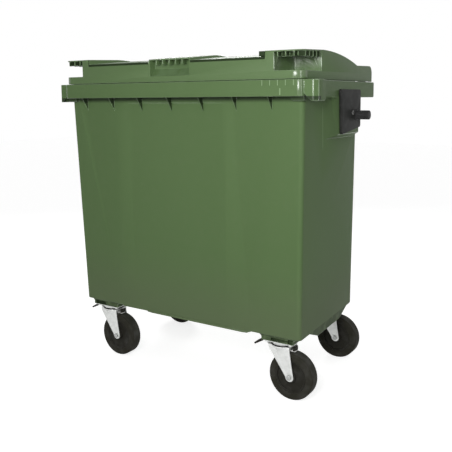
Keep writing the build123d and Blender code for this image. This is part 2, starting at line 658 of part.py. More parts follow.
def front_panel(inset):
    """The shallow layer with sloped sides that sets back the middle of the front wall."""
    lean = (TUB_TOP_FRONT_Y - TUB_BASE_FRONT_Y) / (TUB_TOP_Z - TUB_BASE_Z)
    front_y = tub_at(0, TUB_BASE_FRONT_Y, TUB_TOP_FRONT_Y) + inset
    floor_half = PANEL_HALF_WIDTH - PANEL_SIDE_RUN
    mouth_half = PANEL_HALF_WIDTH + PANEL_SIDE_RUN * OVERRUN / PANEL_SETBACK
    plan = Polygon((-mouth_half, front_y - OVERRUN), (mouth_half, front_y - OVERRUN),
                   (floor_half, front_y + PANEL_SETBACK), (-floor_half, front_y + PANEL_SETBACK))
    layer = extrude(plan, PANEL_TOP_Z, dir=(0, lean, 1))
    return layer & block(-mouth_half, mouth_half, TUB_TOP_FRONT_Y - 2 * OVERRUN, 0,
                         0, PANEL_TOP_Z)


def tub():
    top = TUB_TOP_Z + OVERRUN
    shell = tub_hull(TUB_BASE_Z, TUB_TOP_Z, 0) - front_panel(0)
    shell = shell - corner_pockets(0) - end_slopes(0)
    shell = shell + collar() + gussets() + castor_pads()
    shell = shell + both_sides(side_field(0, TUB_TOP_Z) + ear() + rail())
    cavity = tub_hull(TUB_BASE_Z + TUB_WALL, top, TUB_WALL) - front_panel(TUB_WALL)
    cavity = cavity - corner_pockets(TUB_WALL) - end_slopes(TUB_WALL)
    cavity = cavity + both_sides(side_field(TUB_WALL, top))
    shell = shell - cavity
    shell = shell + both_sides(hinge_lug(LUG_INNER_X) + hinge_lug(LUG_OUTER_X))
    shell = shell - castor_holes() - both_sides(trunnion_holes())
    return shell - post(DRAIN_RADIUS, TUB_BASE_Z - OVERRUN, TUB_BASE_Z + TUB_WALL + OVERRUN)


# Drain plug

def drain_plug():
    flange_top = TUB_BASE_Z - DRAIN_SEAL
    flange = post(DRAIN_FLANGE_RADIUS, flange_top - DRAIN_FLANGE, flange_top)
    body = post(DRAIN_RADIUS - SNUG, flange_top, TUB_BASE_Z + DRAIN_STAND)
    slot_z = flange_top - DRAIN_FLANGE
    slot = block(-DRAIN_SLOT_LENGTH / 2, DRAIN_SLOT_LENGTH / 2,
                 -DRAIN_SLOT_WIDTH / 2, DRAIN_SLOT_WIDTH / 2,
                 slot_z - OVERRUN, slot_z + DRAIN_SLOT_DEPTH)
    return flange + body - slot


def drain_seal():
    outer = post(DRAIN_FLANGE_RADIUS - DRAIN_SEAL, TUB_BASE_Z - DRAIN_SEAL, TUB_BASE_Z)
    return outer - post(DRAIN_RADIUS, TUB_BASE_Z - DRAIN_FLANGE, TUB_BASE_Z + DRAIN_FLANGE)


# Lid

def lid_face(front_z, drop, inset, bottom_z):
    """The lid's side outline, its top curve lowered by a drop and its ends drawn in."""
    front_y = LID_FRONT_Y + inset
    radius = LID_REAR_RADIUS - inset
    rear_y = HINGE_Y + radius
    heel = (HINGE_Y, HINGE_Z + radius)
    bend = (HINGE_Y + radius * cos(radians(45)), HINGE_Z + radius * sin(radians(45)))
    crest = (LID_CREST_Y, LID_CREST_Z - drop)
    shoulder = (LID_SHOULDER_Y, LID_SHOULDER_Z - drop)
    slope_end = (LID_HEEL_Y, LID_HEEL_Z - drop)
    outline = [
        Line((front_y, bottom_z), (front_y, front_z - inset)),
        Line((front_y, front_z - inset), crest),
        ThreePointArc(crest, shoulder, slope_end),
        Line(slope_end, heel),
        ThreePointArc(heel, bend, (rear_y, HINGE_Z)),
        Line((rear_y, HINGE_Z), (rear_y, bottom_z)),
        Line((rear_y, bottom_z), (front_y, bottom_z)),
    ]
    return make_face(outline)


def lid_body(inset, bottom_z):
    """The lid's closed outer form, or with an inset the space inside it."""
    panel = lid_face(LID_PANEL_FRONT_Z, LID_PANEL_DROP + inset, inset, bottom_z)
    side = lid_face(LID_BAND_FRONT_Z, inset, inset, bottom_z)
    centre = lid_face(LID_CENTRE_FRONT_Z, inset, inset, bottom_z)
    half_width = LID_HALF_WIDTH - inset
    centre_half = CENTRE_BAND_HALF_WIDTH - inset
    body = side_prism(panel, -half_width, half_width)
    body = body + side_prism(centre, -centre_half, centre_half)
    return body + both_sides(side_prism(side, SIDE_BAND_INNER_X + inset, half_width))


def band_z(y, front_z):
    """Height of a band's top between the lid's front and its crest."""
    return front_z + (LID_CREST_Z - front_z) * (y - LID_FRONT_Y) / (LID_CREST_Y - LID_FRONT_Y)


def notch(wall):
    """The right corner notch below the grip, or with a wall the lid kept round it."""
    front = LID_FRONT_Y - OVERRUN
    rear = NOTCH_REAR_Y + wall
    roof = -GRIP_PLATE + 2 * wall
    outline = Polygon(
        (front, NOTCH_FLOOR_Z - wall),
        (rear, NOTCH_FLOOR_Z - wall),
        (rear, band_z(rear, LID_BAND_FRONT_Z) + roof),
        (front, band_z(front, LID_BAND_FRONT_Z) + roof),
    )
    return side_prism(outline, NOTCH_INNER_X - wall, LID_HALF_WIDTH + OVERRUN)


def notch_ribs():
    """The comb of ribs below the right corner grip, with the wall behind them."""
    top = LID_CREST_Z
    back_x = LID_HALF_WIDTH - GRIP_DEPTH
    back_y = LID_FRONT_Y + GRIP_DEPTH
    half = GRIP_RIB_WALL / 2
    comb = block(NOTCH_INNER_X, back_x, back_y - GRIP_RIB_WALL, back_y, GRIP_BOTTOM_Z, top)
    comb = comb + block(back_x, back_x + GRIP_RIB_WALL, back_y - GRIP_RIB_WALL, NOTCH_REAR_Y,
                        GRIP_BOTTOM_Z, top)
    across = int((LID_HALF_WIDTH - NOTCH_INNER_X) / GRIP_RIB_PITCH)
    for step in range(1, across + 1):
        x = LID_HALF_WIDTH - half - step * GRIP_RIB_PITCH
        comb = comb + block(x - half, x + half, LID_FRONT_Y, back_y, GRIP_BOTTOM_Z, top)
    along = int((NOTCH_REAR_Y - LID_FRONT_Y) / GRIP_RIB_PITCH)
    for step in range(1, along + 1):
        y = LID_FRONT_Y + half + step * GRIP_RIB_PITCH
        comb = comb + block(back_x, LID_HALF_WIDTH, y - half, y + half, GRIP_BOTTOM_Z, top)
    return comb


def scoop(wall):
    """The hand pocket in the middle of the front, or the lid kept round it."""
    front = LID_FRONT_Y - OVERRUN
    back = LID_FRONT_Y + SCOOP_DEPTH + wall
    roof = -GRIP_PLATE + 2 * wall
    rise = SCOOP_DEPTH - SCOOP_LEDGE
    outline = Polygon(
        (front, SCOOP_FLOOR_Z - wall),
        (LID_FRONT_Y + SCOOP_LEDGE + wall, SCOOP_FLOOR_Z - wall),
        (back, SCOOP_FLOOR_Z + rise - wall),
        (back, band_z(back, LID_CENTRE_FRONT_Z) + roof),
        (front, band_z(front, LID_CENTRE_FRONT_Z) + roof),
    )
    half_width = SCOOP_HALF_WIDTH + wall
    return side_prism(outline, -half_width, half_width)


def scoop_ribs():
    ribs = Part()
    half = GRIP_RIB_WALL / 2
    for step in range(-SCOOP_RIBS_EACH_SIDE, SCOOP_RIBS_EACH_SIDE + 1):
        x = step * GRIP_RIB_PITCH
        ribs = ribs + block(x - half, x + half, LID_FRONT_Y, LID_FRONT_Y + SCOOP_RIB_DEPTH,
                            SCOOP_RIB_BOTTOM_Z, LID_CREST_Z)
    return ribs


def lid_lip():
    """The small lip along the front edge, between the middle and the right band."""
    outline = Polygon(
        (LID_FRONT_Y + LID_WALL, LID_PANEL_FRONT_Z),
        (LID_FRONT_Y - LID_LIP, LID_PANEL_FRONT_Z),
        (LID_FRONT_Y - LID_LIP, LID_PANEL_FRONT_Z - LID_LIP_HEIGHT),
        (LID_FRONT_Y, LID_PANEL_FRONT_Z - LID_LIP_HEIGHT - LID_LIP),
        (LID_FRONT_Y + LID_WALL, LID_PANEL_FRONT_Z - LID_LIP_HEIGHT - LID_LIP),
    )
    return side_prism(outline, CENTRE_BAND_HALF_WIDTH, SIDE_BAND_INNER_X)


def lid():
    plan = front_rounded_plan(
        LID_HALF_WIDTH, LID_FRONT_Y, HINGE_Y + LID_REAR_RADIUS, LID_CORNER_RADIUS
    )
    form = lid_body(0, LID_BOTTOM_Z)
    form = form & plan_prism(plan, LID_BOTTOM_Z, LID_CREST_Z + OVERRUN)
    inner_plan = front_rounded_plan(
        LID_HALF_WIDTH - LID_WALL, LID_FRONT_Y + LID_WALL, HINGE_Y + LID_REAR_RADIUS,
        LID_CORNER_RADIUS - LID_WALL
    )
    space = lid_body(LID_WALL, LID_BOTTOM_Z - OVERRUN)
    space = space & plan_prism(inner_plan, LID_BOTTOM_Z - OVERRUN, LID_CREST_Z)
    space = space - both_sides(notch(LID_WALL)) - scoop(LID_WALL)
    shell = form - space - both_sides(notch(0)) - scoop(0)
    ribs = (both_sides(notch_ribs()) + scoop_ribs()) & form
    shell = shell + ribs + both_sides(lid_lip())
    return shell + both_sides(hinge_rib(form)) - both_sides(hinge_cuts())


def hinge_rib(form):
    """The web and the boss that carry the right hinge pin in the lid."""
    web = form & block(HINGE_RIB_X, HINGE_RIB_X + HINGE_RIB_WALL, HINGE_RIB_FRONT_Y,
                       HINGE_Y + LID_REAR_RADIUS, LID_BOTTOM_Z, LID_CREST_Z)
    boss = rod(HINGE_BOSS_RADIUS, LID_HALF_WIDTH - LID_WALL - HINGE_BOSS_DEPTH,
               LID_HALF_WIDTH - LID_WALL, HINGE_Y, HINGE_Z)
    return web + boss


def hinge_cuts():
    """The bore for the right hinge pin and the slots that clear the tub's lugs."""
    cuts = rod(HINGE_PIN_RADIUS + RUNNING, HINGE_RIB_X - OVERRUN, LID_HALF_WIDTH - LID_WALL,
               HINGE_Y, HINGE_Z)
    for x in (LUG_INNER_X, LUG_OUTER_X):
        cuts = cuts + block(x - LUG_PLAY, x + LUG_WALL + LUG_PLAY, LUG_SLOT_FRONT_Y,
                            HINGE_Y + LID_REAR_RADIUS + OVERRUN,
                            LID_BOTTOM_Z - OVERRUN, LID_CREST_Z)
    return cuts


def hinge_pin():
    """The right hinge pin, its head on the inner side of the lid's web."""
    shaft = rod(HINGE_PIN_RADIUS, HINGE_RIB_X - SNUG, LID_HALF_WIDTH - LID_WALL - SNUG,
                HINGE_Y, HINGE_Z)
    head = rod(HINGE_PIN_HEAD_RADIUS, HINGE_RIB_X - SNUG - HINGE_PIN_HEAD,
               HINGE_RIB_X - SNUG, HINGE_Y, HINGE_Z)
    return shaft + head


# Trunnions

def trunnion_plate():
    outline = Polygon(
        (PLATE_FRONT_Y, PLATE_TOP_Z),
        (PLATE_FRONT_Y + PLATE_FRONT_LEAN, PLATE_FRONT_BOTTOM_Z),
        (PLATE_REAR_Y, PLATE_REAR_BOTTOM_Z),
        (PLATE_REAR_Y, PLATE_TOP_Z),
    )
    outline = fillet(outline.vertices(), PLATE_EDGE)
    plate = side_prism(outline, FIELD_HALF_WIDTH, FIELD_HALF_WIDTH + PLATE_WALL)
    far_x = FIELD_HALF_WIDTH + PLATE_WALL + OVERRUN
    near_x = FIELD_HALF_WIDTH - OVERRUN
    plate = plate - rod(TRUNNION_SHOULDER_RADIUS + SNUG, near_x, far_x, TRUNNION_Y, TRUNNION_Z)
    return plate - rod(SCREW_RADIUS + BOLT_PLAY, near_x, far_x, SCREW_Y, SCREW_Z)


def trunnion_pin():
    """A steel pin with a shoulder in the plate and a threaded stud through the tub's wall."""
    stud_end = FIELD_HALF_WIDTH - TUB_WALL - TRUNNION_NUT_HEIGHT - TRUNNION_STUD_TIP
    shoulder_end = FIELD_HALF_WIDTH + PLATE_WALL + TRUNNION_SHOULDER_STAND
    pin = rod(TRUNNION_RADIUS, FIELD_HALF_WIDTH, TRUNNION_END_X, TRUNNION_Y, TRUNNION_Z)
    pin = fillet(pin.edges().group_by(Axis.X)[-1], TRUNNION_NOSE)
    pin = pin + rod(TRUNNION_SHOULDER_RADIUS, FIELD_HALF_WIDTH, shoulder_end,
                    TRUNNION_Y, TRUNNION_Z)
    return pin + rod(TRUNNION_STUD_RADIUS, stud_end, FIELD_HALF_WIDTH, TRUNNION_Y, TRUNNION_Z)


def trunnion_nut():
    outer_x = FIELD_HALF_WIDTH - TUB_WALL
    outline = Pos(TRUNNION_Y, TRUNNION_Z) * hexagon(TRUNNION_NUT_RADIUS)
    nut = side_prism(outline, outer_x - TRUNNION_NUT_HEIGHT, outer_x)
    return nut - rod(TRUNNION_STUD_RADIUS + SNUG, outer_x - TRUNNION_NUT_HEIGHT - OVERRUN,
                     outer_x + OVERRUN, TRUNNION_Y, TRUNNION_Z)


def trunnion_screw():
    face_x = FIELD_HALF_WIDTH + PLATE_WALL
    tip_x = FIELD_HALF_WIDTH - TUB_WALL - SCREW_NUT - SCREW_TIP
    head = rod(SCREW_HEAD_RADIUS, face_x, face_x + SCREW_HEAD, SCREW_Y, SCREW_Z)
    head = fillet(head.edges().group_by(Axis.X)[-1], SCREW_HEAD / 2)
    return head + rod(SCREW_RADIUS, tip_x, face_x, SCREW_Y, SCREW_Z)


def trunnion_screw_nut():
    outer_x = FIELD_HALF_WIDTH - TUB_WALL
    outline = Pos(SCREW_Y, SCREW_Z) * hexagon(SCREW_NUT_RADIUS)
    nut = side_prism(outline, outer_x - SCREW_NUT, outer_x)
    return nut - rod(SCREW_RADIUS + SNUG, outer_x - SCREW_NUT - OVERRUN, outer_x + OVERRUN,
                     SCREW_Y, SCREW_Z)


# Castors, drawn about a swivel axis at the origin, with the wheel trailing towards X

def race_ring(z_low, z_high):
    """A steel ring with a groove for the balls."""
    ring = post(RACE_OUTER_RADIUS, z_low, z_high) - post(RACE_INNER_RADIUS, z_low, z_high)
    groove = Pos(0, 0, RACE_Z) * Torus(RACE_RADIUS, BALL_RADIUS + BALL_PLAY)
    return ring - groove


def castor_plate():
    plate_low = CASTOR_HEIGHT - TOP_PLATE_WALL
    outline = RectangleRounded(TOP_PLATE_LENGTH, TOP_PLATE_DEPTH, TOP_PLATE_CORNER)
    plate = plan_prism(outline, plate_low, CASTOR_HEIGHT)
    for dx, dy in bolt_places():
        hole = post(CASTOR_BOLT_RADIUS + BOLT_PLAY, plate_low - OVERRUN, CASTOR_HEIGHT + OVERRUN)
        plate = plate - Pos(dx, dy, 0) * hole
    plate = plate + race_ring(RACE_Z + RACE_GAP / 2, plate_low)
    return plate - post(KINGPIN_RADIUS + SNUG, plate_low - OVERRUN, CASTOR_HEIGHT + OVERRUN)


def kingpin():
    """The swivel bolt, with a head above the top plate and one below the fork."""
    below = FORK_HEAD_Z - SNUG
    shaft = post(KINGPIN_RADIUS, below, CASTOR_HEIGHT)
    upper = post(KINGPIN_HEAD_RADIUS, CASTOR_HEIGHT, CASTOR_HEIGHT + KINGPIN_HEAD)
    return shaft + upper + post(KINGPIN_HEAD_RADIUS, below - KINGPIN_HEAD, below)


def ball_ring():
    balls = []
    for step in range(BALLS):
        turn = radians(360 * step / BALLS)
        place = Pos(RACE_RADIUS * cos(turn), RACE_RADIUS * sin(turn), RACE_Z)
        balls.append(place * Sphere(BALL_RADIUS))
    return balls


def fork_leg_y():
    """The inner face of a fork leg, from the wheel's middle plane."""
    return HUB_LENGTH / 2 + HUB_PLAY


def fork():
    head_high = FORK_HEAD_Z + FORK_HEAD_WALL
    inner_y = fork_leg_y()
    outer_y = inner_y + FORK_WALL
    leg = Polygon(
        (-FORK_HEAD_HALF_LENGTH, head_high),
        (-FORK_HEAD_HALF_LENGTH, FORK_HEAD_Z - FORK_BASE_BEND),
        (CASTOR_TRAIL - FORK_FOOT_RADIUS, WHEEL_RADIUS),
        (CASTOR_TRAIL + FORK_FOOT_RADIUS, WHEEL_RADIUS),
        (FORK_HEAD_HALF_LENGTH, FORK_HEAD_Z - FORK_BASE_BEND),
        (FORK_HEAD_HALF_LENGTH, head_high),
    )
    both = front_prism(leg, -outer_y, outer_y)
    both = both + cross_rod(FORK_FOOT_RADIUS, 2 * outer_y, CASTOR_TRAIL, WHEEL_RADIUS)
    reach = CASTOR_TRAIL + WHEEL_RADIUS
    both = both - block(-reach, reach, -inner_y, inner_y, 0, FORK_HEAD_Z)
    body = both + post(FORK_HEAD_RADIUS, FORK_HEAD_Z, head_high)
    body = body + race_ring(head_high, RACE_Z - RACE_GAP / 2)
    body = body - post(KINGPIN_RADIUS + RUNNING, FORK_HEAD_Z - OVERRUN, RACE_Z)
    return body - cross_rod(AXLE_RADIUS + SNUG, 2 * reach, CASTOR_TRAIL, WHEEL_RADIUS)


def braked_fork():
    """A fork with holes for the brake lever's pin."""
    return fork() - cross_rod(BRAKE_PIN_RADIUS + SNUG, WHEEL_RADIUS, BRAKE_X, BRAKE_Z)


def axle_sleeve():
    tube = cross_rod(SLEEVE_RADIUS, 2 * fork_leg_y(), CASTOR_TRAIL, WHEEL_RADIUS)
    return tube - cross_rod(AXLE_RADIUS + SNUG, WHEEL_RADIUS, CASTOR_TRAIL, WHEEL_RADIUS)


def axle_bolt():
    outer_y = fork_leg_y() + FORK_WALL
    low_y = -outer_y
    high_y = outer_y + AXLE_NUT + AXLE_TIP
    shaft = cross_rod(AXLE_RADIUS, high_y - low_y, CASTOR_TRAIL, WHEEL_RADIUS,
                      (low_y + high_y) / 2)
    outline = Pos(CASTOR_TRAIL, WHEEL_RADIUS) * hexagon(AXLE_HEAD_RADIUS)
    return shaft + front_prism(outline, low_y - AXLE_HEAD, low_y)


def axle_nut():
    outer_y = fork_leg_y() + FORK_WALL
    outline = Pos(CASTOR_TRAIL, WHEEL_RADIUS) * hexagon(AXLE_HEAD_RADIUS)
    nut = front_prism(outline, outer_y, outer_y + AXLE_NUT)
    return nut - cross_rod(AXLE_RADIUS + SNUG, WHEEL_RADIUS, CASTOR_TRAIL, WHEEL_RADIUS,
                           outer_y)


def wheel_rim():
    """The rim with its hub and a closed web set in a little from both faces."""
    rim = cross_rod(RIM_RADIUS, RIM_WIDTH, 0, 0)
    channel = cross_rod(RIM_RADIUS - RIM_EDGE, RIM_WIDTH, 0, 0)
    rim = rim - channel + cross_rod(RIM_RADIUS - RIM_EDGE / 2, RIM_WEB, 0, 0)
    rim = rim + cross_rod(HUB_RADIUS, HUB_LENGTH, 0, 0)
    rim = rim - cross_rod(SLEEVE_RADIUS + RUNNING, 2 * HUB_LENGTH, 0, 0)
    return Pos(CASTOR_TRAIL, 0, WHEEL_RADIUS) * rim


def tyre():
    solid = cross_rod(WHEEL_RADIUS, WHEEL_WIDTH, 0, 0)
    solid = fillet(solid.edges().filter_by(GeomType.CIRCLE), TYRE_SHOULDER)
    ring = solid - cross_rod(RIM_RADIUS + SNUG, 2 * WHEEL_WIDTH, 0, 0)
    return Pos(CASTOR_TRAIL, 0, WHEEL_RADIUS) * ring


def brake_pin():
    outer_y = fork_leg_y() + FORK_WALL
    length = 2 * (outer_y + BRAKE_PIN_HEAD)
    pin = cross_rod(BRAKE_PIN_RADIUS, length, BRAKE_X, BRAKE_Z)
    for side in (-1, 1):
        middle = side * (outer_y + BRAKE_PIN_HEAD / 2)
        pin = pin + cross_rod(2 * BRAKE_PIN_RADIUS, BRAKE_PIN_HEAD, BRAKE_X, BRAKE_Z, middle)
    return pin


def loop_end():
    """The middle of the pedal loop's bar next to the lever."""
    along = LOOP_LENGTH / 2 - LOOP_ROD / 2
    return (LOOP_X + along * cos(radians(LOOP_SLOPE)), LOOP_Z + along * sin(radians(LOOP_SLOPE)))


def brake_arm():
    """The flat arm that runs from the release tab below the fork's head up to the pedal."""
    half = BRAKE_ARM_WALL / 2
    tab_end = BRAKE_TAB_X + BRAKE_TAB_LENGTH
    end_x, end_z = loop_end()
    section = Polygon(
        (tab_end, BRAKE_Z - half),
        (tab_end, BRAKE_Z + half),
        (BRAKE_KNEE_X, BRAKE_Z + half),
        (end_x, end_z + half),
        (end_x, end_z - half),
        (BRAKE_KNEE_X, BRAKE_Z - half),
    )
    return front_prism(section, -BRAKE_ARM_WIDTH / 2, BRAKE_ARM_WIDTH / 2)


def shoe_reach():
    """How far the shoe hangs below its pivot for its gap to the tyre."""
    across = BRAKE_X - CASTOR_TRAIL
    above = BRAKE_Z - WHEEL_RADIUS
    stand = WHEEL_RADIUS + SHOE_RADIUS + SHOE_GAP
    along = across * cos(radians(SHOE_ANGLE)) + above * sin(radians(SHOE_ANGLE))
    return -along - sqrt(along ** 2 - (across ** 2 + above ** 2 - stand ** 2))


def brake_lever():
    """The rocking lever: an arm to the pedal, an arm to the release tab and a shoe."""
    lever = brake_arm()
    barrel_length = 2 * (fork_leg_y() - HUB_PLAY)
    lever = lever + cross_rod(BRAKE_BARREL_RADIUS, barrel_length, BRAKE_X, BRAKE_Z)
    reach = shoe_reach()
    shoe_x = BRAKE_X + reach * cos(radians(SHOE_ANGLE))
    shoe_z = BRAKE_Z + reach * sin(radians(SHOE_ANGLE))
    lever = lever + cross_rod(SHOE_RADIUS, SHOE_WIDTH, shoe_x, shoe_z)
    web = Pos(0, 0, -reach / 2) * Box(2 * SHOE_RADIUS, SHOE_WIDTH, reach)
    web_turn = Rot(0, -(SHOE_ANGLE + 90), 0)
    lever = lever + Pos(BRAKE_X, 0, BRAKE_Z) * web_turn * web
    return lever - cross_rod(BRAKE_PIN_RADIUS + RUNNING, 2 * barrel_length, BRAKE_X, BRAKE_Z)


def brake_grips():
    """The dark pedal loop, moulded round the arm's end, and the dark release tab."""
    outer = RectangleRounded(LOOP_LENGTH, LOOP_WIDTH, LOOP_ROD)
    inner = RectangleRounded(LOOP_LENGTH - 2 * LOOP_ROD, LOOP_WIDTH - 2 * LOOP_ROD, LOOP_ROD / 2)
    frame = plan_prism(outer - inner, -LOOP_ROD / 2, LOOP_ROD / 2)
    end_x, end_z = loop_end()
    loop = Pos(LOOP_X, 0, LOOP_Z) * Rot(0, -LOOP_SLOPE, 0) * frame
    socket = Box(LOOP_SOCKET, LOOP_SOCKET_WIDTH, LOOP_SOCKET)
    loop = loop + Pos(end_x, 0, end_z) * Rot(0, -LOOP_SLOPE, 0) * socket - brake_arm()
    tab = block(BRAKE_TAB_X, BRAKE_TAB_X + BRAKE_TAB_LENGTH,
                -BRAKE_TAB_WIDTH / 2, BRAKE_TAB_WIDTH / 2,
                BRAKE_Z + BRAKE_ARM_WALL / 2, BRAKE_Z + BRAKE_ARM_WALL / 2 + BRAKE_TAB_HEIGHT)
    return [loop, tab]


def castor_bolt():
    """One bolt, its head below the castor's top plate."""
    under = CASTOR_HEIGHT - TOP_PLATE_WALL
    top = POCKET_Z + TUB_WALL + CASTOR_NUT_HEIGHT + CASTOR_BOLT_TIP
    shaft = post(CASTOR_BOLT_RADIUS, under, top)
    return shaft + plan_prism(hexagon(CASTOR_BOLT_HEAD_RADIUS), under - CASTOR_BOLT_HEAD, under)


def castor_nut():
    floor = POCKET_Z + TUB_WALL
    nut = plan_prism(hexagon(CASTOR_BOLT_HEAD_RADIUS), floor, floor + CASTOR_NUT_HEIGHT)
    return nut - post(CASTOR_BOLT_RADIUS + SNUG, floor - OVERRUN, floor + OVERRUN)


def at_all_bolts(shape):
    return [Pos(x + dx, y + dy, 0) * shape
            for _, x, y in castor_places() for dx, dy in bolt_places()]


def solid_of(shape):
    """The single solid of a piece, or the group as it is."""
    solids = shape.solids()
    return solids[0] if len(solids) == 1 else Compound(children=list(solids))


def save(name, shape):
    if isinstance(shape, list):
        shape = Compound(children=[solid_of(piece) for piece in shape])
    else:
        shape = solid_of(shape)
    export_step(shape, f"parts/{name}.step")


def save_pair(name, shape):
    save(f"{name}_right", shape)
    save(f"{name}_left", mirror(shape, about=Plane.YZ))


def save_castor(name, x, y, braked):
    """Places one castor's pieces at its swivel axis and writes them."""
    turned = Pos(x, y, 0) * Rot(0, 0, CASTOR_TURN)
    save(f"{name}_castor_plate", Pos(x, y, 0) * castor_plate())
    save(f"{name}_kingpin", turned * kingpin())
    save(f"{name}_fork", turned * (braked_fork() if braked else fork()))
    save(f"{name}_axle_sleeve", turned * axle_sleeve())
    save(f"{name}_axle_bolt", turned * axle_bolt())
    save(f"{name}_axle_nut", turned * axle_nut())
    save(f"{name}_wheel_rim", turned * wheel_rim())
    save(f"{name}_tyre", turned * tyre())
    if braked:
        save(f"{name}_brake_pin", turned * brake_pin())
        save(f"{name}_brake_lever", turned * brake_lever())
        save(f"{name}_brake_grips", [turned * piece for piece in brake_grips()])


def save_all():
    os.makedirs("parts", exist_ok=True)
    save("tub", tub())
    save("drain_plug", drain_plug())
    save("drain_seal", drain_seal())
    save("lid", lid())
    save_pair("hinge_pin", hinge_pin())
    save_pair("trunnion_plate", trunnion_plate())
    save_pair("trunnion_pin", trunnion_pin())
    save("trunnion_nuts", both_sides(trunnion_nut()))
    save("trunnion_screws", both_sides(trunnion_screw()))
    save("trunnion_screw_nuts", both_sides(trunnion_screw_nut()))
    save("castor_bolts", at_all_bolts(castor_bolt()))
    save("castor_nuts", at_all_bolts(castor_nut()))
    balls = [Pos(x, y, 0) * ball for _, x, y in castor_places() for ball in ball_ring()]
    save("swivel_balls", balls)
    for name, x, y in castor_places():
        save_castor(name, x, y, name.startswith("front"))


save_all()
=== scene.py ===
# %% [markdown]
# # A four-wheeled waste container
#
# The model that comes in below is the construction of a wheeled container of about 770 litres:
# every moulding, pin, bolt and castor piece at its true size, in metres. This lesson dresses it.
# It sets up a camera and a small studio, rounds the mouldings as a real tool would, adds the
# small pieces that a construction model leaves out, and gives each surface a finish.

# %% Load the construction model
import json
from math import cos, radians, sin

import bmesh
import bpy
from mathutils import Matrix, Vector

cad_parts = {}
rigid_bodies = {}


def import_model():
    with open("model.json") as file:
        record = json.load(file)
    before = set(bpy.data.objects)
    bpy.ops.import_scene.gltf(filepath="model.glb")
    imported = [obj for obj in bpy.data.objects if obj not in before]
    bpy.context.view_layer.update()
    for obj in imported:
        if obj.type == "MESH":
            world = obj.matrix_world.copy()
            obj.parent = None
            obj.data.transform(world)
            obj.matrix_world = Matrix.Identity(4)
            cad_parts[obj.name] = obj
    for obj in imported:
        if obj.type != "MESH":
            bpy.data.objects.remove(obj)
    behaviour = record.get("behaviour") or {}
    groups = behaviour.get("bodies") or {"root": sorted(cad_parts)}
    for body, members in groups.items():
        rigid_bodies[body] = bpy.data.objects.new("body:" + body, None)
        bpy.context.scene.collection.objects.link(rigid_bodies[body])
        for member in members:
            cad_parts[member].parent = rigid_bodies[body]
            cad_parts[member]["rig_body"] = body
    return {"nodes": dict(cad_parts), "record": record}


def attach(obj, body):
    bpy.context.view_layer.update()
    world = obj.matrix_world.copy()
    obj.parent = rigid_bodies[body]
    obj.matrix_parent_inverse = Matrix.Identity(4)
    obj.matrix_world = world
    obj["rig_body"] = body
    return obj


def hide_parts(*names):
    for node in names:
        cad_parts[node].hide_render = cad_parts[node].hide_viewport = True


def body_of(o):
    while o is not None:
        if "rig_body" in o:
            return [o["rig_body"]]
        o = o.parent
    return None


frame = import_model()
nodes = frame["nodes"]
bpy.context.scene.view_settings.view_transform = "Standard"
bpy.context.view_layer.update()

# %% [markdown]
# ## A steady hand with operators
#
# Blender's operators act on whatever is selected. The model arrives with all of its pieces
# selected, so the first helper clears that and picks one object. The others select faces,
# edges or points by a rule, because a script has no mouse to click with.

# %% Selection helpers
MM = 0.001


def pick(piece):
    """Selects only this object and makes it active."""
    bpy.ops.object.select_all(action="DESELECT")
    piece.select_set(True)
    bpy.context.view_layer.objects.active = piece


def edit(piece):
    """Opens a piece in edit mode with nothing selected."""
    pick(piece)
    bpy.ops.object.mode_set(mode="EDIT")
    bpy.ops.mesh.select_all(action="DESELECT")


def done():
    """Closes edit mode."""
    bpy.ops.object.mode_set(mode="OBJECT")


def select(kind, rule):
    """Selects the faces, edges or verts of the open mesh that pass a rule; returns how many."""
    bpy.ops.mesh.select_mode(type={"faces": "FACE", "edges": "EDGE", "verts": "VERT"}[kind])
    piece = bpy.context.edit_object
    mesh = bmesh.from_edit_mesh(piece.data)
    found = [part for part in getattr(mesh, kind) if rule(part)]
    for part in found:
        part.select_set(True)
    mesh.select_flush(True)
    bmesh.update_edit_mesh(piece.data)
    return len(found)


def inside(value, span):
    """True for a value between the two ends of a span."""
    return span[0] < value < span[1]


def middle(part):
    """The middle of a face or an edge."""
    corners = part.verts
    return sum((corner.co for corner in corners), Vector()) / len(corners)


def reach(part, axis):
    """The lowest and highest place of a face or an edge along one axis."""
    places = [getattr(corner.co, axis) for corner in part.verts]
    return min(places), max(places)


# %% Object helpers
SMOOTH_WITHIN = radians(32)


def settle(piece):
    """Puts a finished piece's place into its mesh, so that its object sits at the origin."""
    pick(piece)
    bpy.ops.object.transform_apply(location=True, rotation=True, scale=True)
    return piece


def modify(piece, kind, **settings):
    """Adds one modifier and applies it."""
    pick(piece)
    bpy.ops.object.modifier_add(type=kind)
    modifier = piece.modifiers[-1]
    for name, value in settings.items():
        setattr(modifier, name, value)
    bpy.ops.object.modifier_apply(modifier=modifier.name)


def smooth(piece):
    """Shades a piece smooth, apart from edges sharper than an angle."""
    pick(piece)
    bpy.ops.object.shade_smooth_by_angle(angle=SMOOTH_WITHIN)
    return piece


# %% [markdown]
# ## The camera
#
# The container is seen from its front right, a little above its lid. The view was worked out
# from the wheels and the corners of the tub. The image is moved down in its frame by the
# lens shift, as a photographer does to keep the uprights nearly upright.

# %% Camera
CAMERA_PLACE = Vector((1.5823, -2.5262, 1.2440))
CAMERA_YAW = radians(31.49)
CAMERA_PITCH = radians(6.73)
CAMERA_ROLL = radians(-0.49)
CAMERA_LENS = 50.01
CAMERA_SENSOR = 36.0
CAMERA_SHIFT_Y = -0.1195
CAMERA_REACH = 100.0

